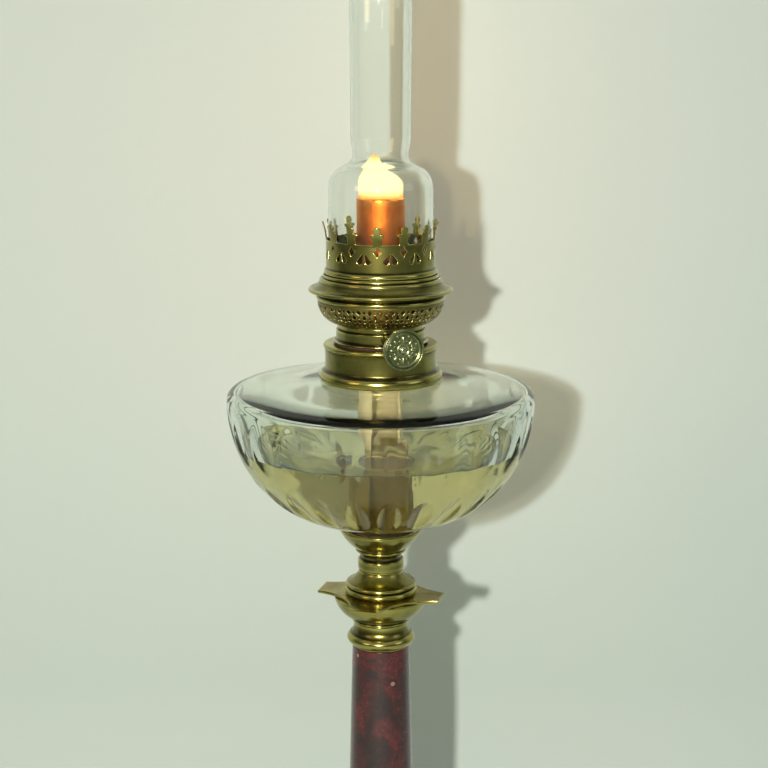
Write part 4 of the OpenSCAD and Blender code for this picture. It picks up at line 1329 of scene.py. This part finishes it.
@dataclass
class Gallery:
    """The crown that grips the chimney: prongs, stars and drops cut through a spun ring."""

    count: int = 13
    turn: float = -3.7
    sheet: float = 0.7
    inner_r: float = 26.3
    bead_h: float = 2.6
    wall_h: float = 14.5
    prong_h: float = 8.7
    bend: float = 1.9
    ledge_w: float = 3.8
    ledge_t: float = 0.6

    def build(self) -> None:
        """Builds the crown and the ledge inside it."""
        self.foot_z = Span.of("chimney_gallery").foot
        sheet = PiercedSheet(self.line(), self.pattern, cell=0.36)
        crown = make_piece("pierced_gallery", sheet.mesh("pierced_gallery"), SPUN, Body.BURNER,
                           ["chimney_gallery"])
        solidify(crown, self.sheet)
        z = self.foot_z + self.bead_h
        outer, inner = self.inner_r + 0.1, self.inner_r - self.ledge_w
        ledge = outline((inner, 0), (outer, 0), (outer, self.ledge_t), (inner, self.ledge_t))
        make_piece("gallery_ledge", mesh_of("gallery_ledge", [
            turned(ledge + [0, z], closed=True, softness=0.15)]), SPUN, Body.BURNER)

    def line(self) -> np.ndarray:
        """Bead, straight wall, and prongs that bend outwards."""
        r, top = self.inner_r + self.sheet, self.bead_h + self.wall_h
        line = outline(
            bow((r + 0.5, 0), (r + 0.5, self.bead_h), 0.5, 12),
            (r - 0.1, self.bead_h + 0.3), (r, self.bead_h + 0.9),
            bow((r, top - 1), (r + self.bend, top + self.prong_h + 0.2), -0.3, 14))
        return line + [0, self.foot_z]

    def pattern(self, a: np.ndarray, r: np.ndarray, z: np.ndarray) -> np.ndarray:
        """Prongs above the wall, a star under each, and a pair of drops between two.

        Args:
            a: angles.
            r: radii.
            z: heights.

        Returns:
            Values below 0 where metal stays.
        """
        pitch = 2 * np.pi / self.count
        start = math.radians(self.turn - 90)
        radius = self.inner_r + self.sheet
        x = ((a - start + pitch / 2) % pitch - pitch / 2) * radius
        y = z - self.foot_z - self.bead_h - self.wall_h
        arm_y, tip = self.prong_h / 2, self.prong_h - 1.8
        prong = np.minimum.reduce([
            block(x, y - arm_y / 2, 2.2, arm_y / 2 + 0.5), circle(x, y - tip, 1.8),
            block(x, y - (arm_y + tip) / 2, 1.3, (tip - arm_y) / 2),
            drop(x, y, (-2.5, arm_y), (2.5, arm_y), (0.8, 0.8))])
        metal = np.minimum(y, prong)
        shifted = ((a - start) % pitch - pitch / 2) * radius
        side = np.abs(shifted)
        pair = drop(side, y + 8.1, (2.1, 0), (0.55, 3.7), (1.3, 0.15))
        return np.maximum.reduce([metal, -star(x, y + 3.4, 1.9, 2.9), -pair])


@dataclass
class Basket:
    """The pierced air basket with three rows of small cuts."""

    foot_r: float = 20.9
    count: int = 36
    sheet: float = 0.7

    def build(self) -> None:
        """Builds the basket: radius = foot + across cos a, height = h (1 - sin a)."""
        span = Span.of("burner_basket")
        self.foot_z, self.h, self.top_r = span.foot, span.height, span.radius
        a = np.radians(np.linspace(90, 0, 40))
        across = self.top_r - self.foot_r
        line = np.stack([self.foot_r + across * np.cos(a),
                         self.foot_z + self.h * (1 - np.sin(a))], 1)
        sheet = PiercedSheet(line, self.pattern, cell=0.3)
        piece = make_piece("pierced_basket", sheet.mesh("pierced_basket"), DARK, Body.BURNER,
                           ["burner_basket"])
        solidify(piece, self.sheet)

    def pattern(self, a: np.ndarray, r: np.ndarray, z: np.ndarray) -> np.ndarray:
        """A row of leaves over clusters of three dots over a row of small dots.

        Args:
            a: angles.
            r: radii.
            z: heights.

        Returns:
            Values below 0 where metal stays.
        """
        pitch = 2 * np.pi / self.count
        share = np.clip(1 - (z - self.foot_z) / self.h, 0, 1)
        along = np.degrees(np.arcsin(share))
        across = self.top_r - self.foot_r
        y = (np.radians(along)) * (across + self.h) / 2
        x = ((a + pitch / 2) % pitch - pitch / 2) * r
        half = (a % pitch - pitch / 2) * r
        level = [np.radians(d) * (across + self.h) / 2 for d in (12, 24, 37, 50, 62)]
        cuts = [
            star(x, y - level[0], 1.5, 1.5),
            circle(half, y - level[0], 0.62),
            drop(half, y, (0, level[1] + 0.5), (0, level[1] - 0.8), (0.95, 0.3)),
            circle(x, y - level[1] - 0.5, 0.6),
            star(x, y - level[2], 1.3, 1.5),
            circle(half, y - level[2] - 0.4, 0.7),
            drop(x, y, (0, level[3] - 0.2), (0, level[3] + 1.0), (0.65, 0.2)),
            circle(half, y - level[4] + 1.0, 0.5)]
        return -np.minimum.reduce(cuts)


@dataclass
class Burner:
    """The burner's turned pieces: base with thread and band, flange, gallery, wick tube."""

    play: float = 0.3
    thread_r: float = 18.1
    skirt_wall: float = 1.2
    pitch: float = 2.54
    neck_r: float = 22.2
    neck_h: float = 9.4
    floor_t: float = 1.2
    sheet: float = 0.7
    tube_r: float = 11.9
    tube_wall: float = 0.5
    top_r: float = 28.2

    def build(self) -> None:
        """Builds the pieces from the thread upward."""
        make_piece("burner_body", mesh_of("burner_body", [self.base()]), SPUN, Body.BURNER,
                   ["burner_base"])
        Basket().build()
        make_piece("spun_flange", mesh_of("spun_flange", [self.flange()]), SPUN, Body.BURNER,
                   ["burner_flange"])
        Gallery().build()
        # The wick tube takes the brass painted orange with the flame's reflected light.
        make_piece("round_wick_tube", mesh_of("round_wick_tube", [self.tube()]), FLAME_LIGHT_PAINTED_BRASS,
                   Body.BURNER, ["wick_tube"])

    def base(self) -> Skin:
        """The base; on its skirt a thread, a groove whose height climbs a pitch each turn.

        Returns:
            The closed skin.
        """
        span = Span.of("burner_base")
        lip = span.radius
        low = span.foot
        skirt = self.thread_r - self.play
        seat = span.top - self.neck_h
        inner, top = self.neck_r - 1.6, self.neck_r - 0.7
        hole = self.tube_r
        h = self.neck_h
        line = outline(
            (skirt, low - seat), (skirt, 0), (lip - 0.3, 0), (lip, 0.3), (lip, 0.7),
            (lip - 0.4, 1), (self.neck_r, 1.3), (self.neck_r, h - 3.2), (self.neck_r - 0.2, h - 3),
            (self.neck_r - 1, h - 2.9), (self.neck_r - 1, h - 2.5), (top, h - 2.3), (top, h - 0.4),
            (top - 0.4, h), (inner, h), (inner, self.floor_t), (hole, self.floor_t), (hole, 0),
            (skirt - self.skirt_wall, 0), (skirt - self.skirt_wall, low - seat))
        line = refine(soften(line, 0.2, True), 0.5) + [0, seat]
        skin = revolve(line, closed=True)
        a = np.arctan2(skin.points[..., 1], skin.points[..., 0])
        r = np.hypot(skin.points[..., 0], skin.points[..., 1])
        z = skin.points[..., 2]
        on_skirt = (np.abs(r - skirt) < 0.05) & (z < seat - 1) & (z > low + 0.4)
        wave = 0.5 - 0.5 * np.cos(2 * np.pi * (z / self.pitch - a / (2 * np.pi)))
        scale = np.where(on_skirt, (r - 0.5 * wave) / r, 1)[..., None]
        skin.points[..., :2] *= scale
        return skin

    def flange(self) -> Skin:
        """Rings, wide rim and steps up to the gallery, spun from sheet."""
        span = Span.of("burner_flange")
        h, rim, low, rim_z = span.height, span.radius, 31.4, 4.7
        wall = 27.0
        outside = outline(
            bow((low, 0), (low, 2.2), 0.6, 12),
            bow((low + 0.3, 2.5), (rim, rim_z - 0.4), -0.3, 10), (rim, rim_z + 0.4),
            bow((rim - 0.6, rim_z + 1), (wall + 3.6, h - 4), -0.8, 14),
            bow((wall + 3.3, h - 3.6), (wall + 2.8, h - 1.9), 0.3, 8),
            bow((wall + 1.6, h - 1.6), (self.top_r, h), 0.3, 8))
        line = np.vstack([outside, lining(outside, self.sheet)[::-1]])
        return turned(line + [0, span.foot], closed=True, step=0.9)

    def tube(self) -> Skin:
        """The wick tube with its edge rolled smooth."""
        span = Span.of("wick_tube")
        r, inner = self.tube_r, self.tube_r - self.tube_wall
        line = outline((inner, span.foot), (r, span.foot), (r, span.top), (inner, span.top))
        return turned(line, closed=True, step=2.5)


def lining(points: np.ndarray, thickness: float) -> np.ndarray:
    """The same outline moved to its left by the thickness of a sheet."""
    way = np.gradient(points, axis=0)
    way /= np.linalg.norm(way, axis=1, keepdims=True).clip(1e-9)
    return points + thickness * np.stack([-way[:, 1], way[:, 0]], 1)


@dataclass
class Winder:
    """Sleeve, knob and rivet on the spindle's line."""

    spindle_r: float = 1.5
    sleeve_r: float = 2.6
    sleeve_in: float = 20.8
    sleeve_out: float = 31.0
    reach: float = 46.2
    knob_r: float = 10.0
    knob_t: float = 2.6
    face: float = 1.43
    petals: int = 8
    rivet_r: float = 1.9

    def build(self, frame: dict) -> None:
        """Builds the three pieces on the joint's axis.

        Args:
            frame: what the frame gives.
        """
        joint = next(j for j in frame["joints"] if j["name"] == "knob_turn")
        place = self.line_of(joint)
        for name, skin, finish, body, slot, node in (
            ("spindle_boss", self.sleeve(), DARK, Body.BURNER, Slot.DARK_BRASS, "spindle_sleeve"),
            ("winder_knob", self.knob(), KNOB, Body.WINDER, Slot.DARK_BRASS, "knob"),
            ("knob_stud", self.rivet(), KNOB, Body.WINDER, Slot.BRASS, "knob_rivet"),
        ):
            make_piece(name, mesh_of(name, [placed(skin, place)]), finish, body, [node])

    def line_of(self, joint: dict) -> np.ndarray:
        """The matrix, in millimetres, that lays +Z on the joint's axis, z from the lamp's middle."""
        out = Vector(joint["axis"]).normalized()
        side = Vector((0, 0, 1)).cross(out).normalized()
        matrix = np.eye(4)
        matrix[:3, 0], matrix[:3, 1], matrix[:3, 2] = side, out.cross(side), out
        point = np.array(joint["pos_m"]) / MM
        matrix[:3, 3] = point - np.array(out) * (point @ np.array(out))
        return matrix

    def sleeve(self) -> Skin:
        """The boss through which the spindle passes."""
        bore, r, a, b = self.spindle_r + 0.05, self.sleeve_r, self.sleeve_in, self.sleeve_out
        line = outline((bore, a), (r, a), (r, b - 2.5), (r + 0.6, b - 2), (r + 0.6, b), (bore, b))
        return turned(line, closed=True, columns=64, softness=0.15)

    def knob(self) -> Skin:
        """The stamped disc: rim, ring, leaves with a bead between two, and a ring at the hub.

        The face's height over the radius and angle is the sum of smooth bumps: rings are
        bell curves of the radius, a leaf is 1 - (u^2 + v^2) on its own two axes, kept above 0.

        Returns:
            The closed skin, made along +Z.
        """
        back = outline((0, 0), (self.knob_r - 0.6, 0), (self.knob_r, 0.5),
                       (self.knob_r, self.knob_t - 0.4))
        back = refine(soften(back, 0.2, False), 0.6)
        r = np.linspace(self.knob_r - 0.1, 0, 110)
        columns = 192
        a = np.arange(columns) / columns * 2 * np.pi
        rr, aa = r[:, None], a[None]
        bell = lambda middle, width: np.exp(-(((rr - middle) / width) ** 2))  # noqa: E731
        rim = (self.knob_t - self.face - 0.02) * np.clip((rr - self.knob_r + 1.25) / 0.35, 0, 1)
        rim = rim * (1 - 0.35 * np.clip((rr - self.knob_r + 0.35) / 0.3, 0, 1) ** 2)
        step = 2 * np.pi / self.petals
        leaf_a = ((aa + step / 2) % step - step / 2) * 5.3
        bead_a = (aa % step - step / 2) * 6.6
        leaf = np.clip(1 - ((rr - 5.0) / 1.9) ** 2 - (leaf_a / 0.95) ** 2, 0, None)
        bead = np.clip(1 - ((rr - 6.9) / 0.6) ** 2 - (bead_a / 0.6) ** 2, 0, None)
        seed = np.clip(1 - ((rr - 4.6) / 0.5) ** 2 - ((bead_a * 4.6 / 6.6) / 0.5) ** 2, 0, None)
        face = self.face + rim + 0.35 * bell(8.15, 0.28) + 0.3 * bell(2.7, 0.3)
        face = face + 0.7 * np.sqrt(leaf) + 0.5 * np.sqrt(bead) + 0.35 * np.sqrt(seed)
        face = np.minimum(face, self.knob_t)
        top = np.stack([rr * np.cos(aa), rr * np.sin(aa), face + 0 * aa], -1)
        side = revolve(back, columns=columns).points
        return Skin(np.concatenate([side, top]) + [0, 0, self.reach],
                    wear=np.concatenate([np.zeros(len(back)), np.full(len(r), -0.1)]))

    def rivet(self) -> Skin:
        """The domed stud that holds the knob."""
        line = outline((0, 0), (self.rivet_r, 0), bow((self.rivet_r, 0.25), (0, 1.1), 0.35, 10))
        return turned(line + [0, self.reach + self.face], columns=48)


@dataclass
class WickAndFlame:
    """The split cotton sleeve and the flame that stands on it."""

    outer: float = 11.1
    inner: float = 9.7
    wide_gap: float = 84.0
    top_gap: float = 8.0
    gap_top: float = 444.4
    gap_turn: float = 18.0
    flame_h: float = 21.0
    sunk: float = 0.42
    glows: int = 6
    glow_r: float = 17.0
    glow_z: float = 6.0
    glow_power: float = 0.12
    oil_z: float = 353.7

    def build(self) -> None:
        """Builds the wick, the flame and the light that it gives."""
        span = Span.of("wick")
        cotton = WovenCotton("braided_wick_cotton", burnt_from=span.top - 2.5, soaked_to=self.oil_z)
        make_piece("cotton_wick", mesh_of("cotton_wick", [self.sleeve(span)]), cotton, Body.WICK,
                   ["wick"])
        fire = Flame("lamp_flame", foot_z=span.top - 0.5, height=self.flame_h)
        flame = make_piece("flame", mesh_of("flame", [self.flame(span.top)]), fire, Body.WICK)
        glow = bpy.data.lights.new("flame_glow", "POINT")
        glow.energy, glow.color = self.glow_power, linear("#FF8A3A")[:3]
        glow.shadow_soft_size = 3 * MM
        for turn in np.radians(np.arange(self.glows) * 360 / self.glows):
            lamp = bpy.data.objects.new("flame_glow", glow)
            bpy.context.scene.collection.objects.link(lamp)
            lamp.location = Vector((self.glow_r * math.cos(turn), self.glow_r * math.sin(turn),
                                    span.top + self.glow_z)) * MM
            lamp.visible_camera = lamp.visible_glossy = lamp.visible_transmission = False
            lamp.parent = flame

    def sleeve(self, span: Span) -> Skin:
        """A C-shaped section carried upward: wide open below, nearly closed at the top.

        A point of the section lies at the share u of the arc that the gap leaves free, first
        outside and then back inside; the cloth's thickness swells a little between stitches.

        Args:
            span: the room of the wick.

        Returns:
            The closed skin.
        """
        z = np.concatenate([np.linspace(span.foot, self.gap_top, 30),
                            np.linspace(self.gap_top + 0.1, span.top, 24)])
        gap = np.radians(np.where(z <= self.gap_top, self.wide_gap, self.top_gap))
        u = np.linspace(0, 1, 60)
        middle = math.radians(self.gap_turn - 90)
        arc = middle + gap[:, None] / 2 + u[None] * (2 * np.pi - gap[:, None])
        ripple = 0.04 * np.sin(u * 90)[None]
        angle = np.concatenate([arc, arc[:, ::-1]], 1)
        r = np.concatenate([self.outer - 0.05 + ripple + 0 * arc,
                            self.inner + 0.05 - ripple[:, ::-1] + 0 * arc], 1)
        grid = np.stack([r * np.cos(angle), r * np.sin(angle),
                         np.broadcast_to(z[:, None], r.shape)], -1)
        middle_r = (self.outer + self.inner) / 2
        ends = []
        for row in (0, -1):
            end = grid[row].copy()
            flat = np.hypot(end[:, 0], end[:, 1])[:, None]
            end[:, :2] *= middle_r / flat
            ends.append(end[None])
        grid = np.concatenate([ends[0], grid, ends[1]])
        return Skin(grid, size=(2 * 2 * np.pi * self.outer, span.height))

    def flame(self, foot: float) -> Skin:
        """A curtain of fire round the wick that closes to a ragged crown.

        At the share t of its height the curtain's radius is the wick's up to the share that
        sinks with the wick between the tubes, then it draws in by 7.5 u^1.8, where u is the
        rest of the way; its thickness is 1.5 (1 - u)^0.7. Its height over the angle a is a
        sum of cosines, taller at the left.

        Args:
            foot: height of the wick's top.

        Returns:
            The closed skin.
        """
        columns = 120
        a = np.arange(columns) / columns * 2 * np.pi
        tall = 0.80 + 0.17 * np.cos(a - 3.5) + 0.05 * np.cos(3 * a + 1) + 0.03 * np.cos(7 * a)
        t = np.linspace(0, 1, 30)
        u = np.clip((t - self.sunk) / (1 - self.sunk), 0, 1)
        middle = (self.outer + self.inner) / 2 - 7.5 * u**1.8
        half = 0.75 * (1 - u) ** 0.7 + 0.02
        loop_t = np.concatenate([t, t[::-1]])
        loop_r = np.concatenate([middle + half, (middle - half)[::-1]])
        z = foot - 0.6 + loop_t[:, None] * self.flame_h * tall[None]
        grid = np.stack([loop_r[:, None] * np.cos(a), loop_r[:, None] * np.sin(a), z], -1)
        return Skin(grid, ring_rows=True)


@dataclass
class Chimney:
    """The blown glass chimney: cylinder, shoulder, pinched neck and long flue."""

    bulb_h: float = 38.0
    pinch_r: float = 13.4
    flue_r: float = 14.7
    flue_top_r: float = 16.0
    wall: float = 1.6
    shoulder_h: float = 12.5

    def build(self) -> None:
        """Builds the glass as one wall with both edges melted round."""
        span = Span.of("chimney")
        bulb, h = span.radius, span.height
        pinch_z = self.bulb_h + self.shoulder_h + 4
        flue_z = pinch_z + 8
        outside = outline(
            (bulb, 0), (bulb, self.bulb_h - 4),
            bow((bulb, self.bulb_h), (self.pinch_r + 2.4, self.bulb_h + self.shoulder_h), 3.1, 14),
            bow((self.pinch_r + 0.6, pinch_z - 1.6), (self.pinch_r + 0.35, pinch_z + 1.6), -0.4, 6),
            bow((self.flue_r - 0.5, flue_z - 3.5), (self.flue_r, flue_z), 0.1, 5),
            (self.flue_top_r, h))
        outside = self.flowing(outside)
        line = np.vstack([outside, lining(outside, self.wall)[::-1]])
        skin = turned(line + [0, span.foot], closed=True, softness=0.6, step=3.0, columns=128)
        skin.wear = None
        make_piece("glass_chimney", mesh_of("glass_chimney", [skin]), BLOWN, Body.CHIMNEY,
                   ["chimney"])

    def flowing(self, points: np.ndarray) -> np.ndarray:
        """The outline with its bends evened by a running mean over 1.5 mm, ends kept."""
        s = lengths(points)
        even = np.arange(0, s[-1], 0.5)
        dense = np.stack([np.interp(even, s, points[:, k]) for k in (0, 1)], axis=1)
        near = np.exp(-(((even[:, None] - even[None]) / 1.5) ** 2))
        smooth = near @ dense / near.sum(1, keepdims=True)
        smooth[[0, -1]] = points[[0, -1]]
        bent = (even > s[1] - 6) & (even < s[-1] - 190)
        kept = bent | (np.arange(len(even)) % 12 == 0)
        kept[0] = True
        return np.vstack([smooth[kept], points[-1:]])


@dataclass
class Studio:
    """Pale floor and backdrop, soft light and the camera at the photograph's angle."""

    wall_y: float = 260.0
    bend_r: float = 120.0
    camera_y: float = -820.0
    camera_z: float = 560.0
    look_z: float = 383.0
    look_x: float = 1.6
    lens: float = 78.6
    pale: str = "#C6CABE"

    def build(self) -> None:
        """Builds the stage, the lights and the camera."""
        self.stage()
        self.world()
        self.light("key", (-110, -900, 575), (0, 0, 400), 18, 10.0, "#FFFCF4")
        self.light("warm_side", (-800, -650, 700), (0, 0, 380), 320, 1.0, "#FFD9A0")
        self.light("right_fill", (1100, -500, 800), (0, 0, 380), 500, 0.9, "#F4FAFF")
        self.camera()

    def stage(self) -> None:
        """One sheet: floor, a quarter round and the wall, seen from its front side only."""
        a = np.radians(np.linspace(0, 90, 16))
        y = np.concatenate([[-4000], self.wall_y - self.bend_r + self.bend_r * np.sin(a),
                            [self.wall_y]])
        z = np.concatenate([[0], self.bend_r * (1 - np.cos(a)), [3500]])
        x = np.array([-4000, 4000])
        grid = np.stack([np.broadcast_to(x[:, None], (2, len(y))), np.broadcast_to(y, (2, len(y))),
                         np.broadcast_to(z, (2, len(y)))], -1)
        mesh = mesh_of("sweep", [Skin(grid, ring_columns=False)])
        mesh.flip_normals()
        sweep = bpy.data.objects.new("sweep", mesh)
        bpy.context.scene.collection.objects.link(sweep)
        mesh.materials.append(Backdrop("painted_sweep").material())

    def world(self) -> None:
        """Dim neutral surroundings, brighter towards the ceiling and pale seen through glass."""
        world = bpy.data.worlds.new("studio")
        bpy.context.scene.world = world
        world.use_nodes = True
        tree = world.node_tree
        tree.nodes.clear()
        end = tree.nodes.new("ShaderNodeOutputWorld")
        up = add_node(tree, "ShaderNodeSeparateXYZ", {
            0: add_node(tree, "ShaderNodeTexCoord").outputs["Generated"]})
        colour = add_node(tree, "ShaderNodeValToRGB", {"Fac": add_node(
            tree, "ShaderNodeMapRange", {"Value": up.outputs["Z"], "From Min": -1.0}
        ).outputs["Result"]}, stops=[(0.4, "#474A44"), (0.62, "#565A54"), (0.95, "#C8CCC8")])
        path = add_node(tree, "ShaderNodeLightPath")
        seen = add_node(tree, "ShaderNodeMixRGB", {
            0: path.outputs["Is Transmission Ray"], 1: colour.outputs["Color"],
            2: linear(self.pale)})
        sky = add_node(tree, "ShaderNodeBackground", {"Color": seen.outputs[0],
                                                      "Strength": 1.0})
        tree.links.new(sky.outputs[0], end.inputs["Surface"])

    def light(self, name: str, place: Sequence[float], aim: Sequence[float], width: float,
              power: float, colour: str) -> None:
        """Adds a square lamp.

        Args:
            name: its name.
            place: where it stands, in millimetres.
            aim: the point that it faces.
            width: its side in millimetres.
            power: its power in watts.
            colour: hex colour of its light.
        """
        data = bpy.data.lights.new(name, "AREA")
        data.energy, data.size, data.color = power, width * MM, linear(colour)[:3]
        lamp = bpy.data.objects.new(name, data)
        bpy.context.scene.collection.objects.link(lamp)
        lamp.location = Vector(place) * MM
        lamp.rotation_euler = (Vector(aim) - Vector(place)).to_track_quat("-Z", "Y").to_euler()

    def camera(self) -> None:
        """The camera, close in front and a little above the font."""
        data = bpy.data.cameras.new("camera")
        data.lens, data.sensor_width = self.lens, 36
        data.clip_start, data.clip_end = 0.05, 20
        camera = bpy.data.objects.new("camera", data)
        bpy.context.scene.collection.objects.link(camera)
        place = Vector((0, self.camera_y, self.camera_z)) * MM
        aim = Vector((self.look_x, 0, self.look_z)) * MM
        camera.location = place
        camera.rotation_euler = (aim - place).to_track_quat("-Z", "Y").to_euler()
        bpy.context.scene.camera = camera


@dataclass(frozen=True)
class Backdrop(Finish):
    """Pale painted paper, seen only from the front so that it hides nothing from behind."""

    paint: str = "#C5CFC8"

    def shader(self, tree: bpy.types.NodeTree) -> bpy.types.NodeSocket:
        """Dull paint, and nothing at all on the back."""
        front = add_node(tree, "ShaderNodeBsdfDiffuse", {"Color": linear(self.paint)})
        none = add_node(tree, "ShaderNodeBsdfTransparent")
        side = add_node(tree, "ShaderNodeNewGeometry").outputs["Backfacing"]
        both = add_node(tree, "ShaderNodeMixShader", {
            0: side, 1: front.outputs["BSDF"], 2: none.outputs["BSDF"]})
        return both.outputs["Shader"]


def main() -> None:
    """Builds the lamp round the frame, then the studio."""
    logging.basicConfig(level=logging.INFO, format="%(message)s")
    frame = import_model()
    Foot().build()
    Column().build()
    Capital().build()
    StemAndCup().build()
    Font().build()
    Collar().build()
    Burner().build()
    Winder().build(frame)
    WickAndFlame().build()
    Chimney().build()
    dress(frame, STEEL, "tie_rod", "foot_washer", "foot_nut", "cup_nut", "spindle", "spur_wheels")
    dress(frame, PLASTER, "cup_plaster", "collar_plaster")
    dress(frame, FIBRE, "gasket_ring")
    dress(frame, DARK, "air_diffuser", "draught_tube")
    Studio().build()
    bpy.context.scene.view_settings.view_transform = "Standard"
    bpy.context.scene.cycles.max_bounces = GLASS_BOUNCES
    bpy.context.scene.cycles.transmission_bounces = GLASS_BOUNCES


if __name__ == "__main__":
    main()
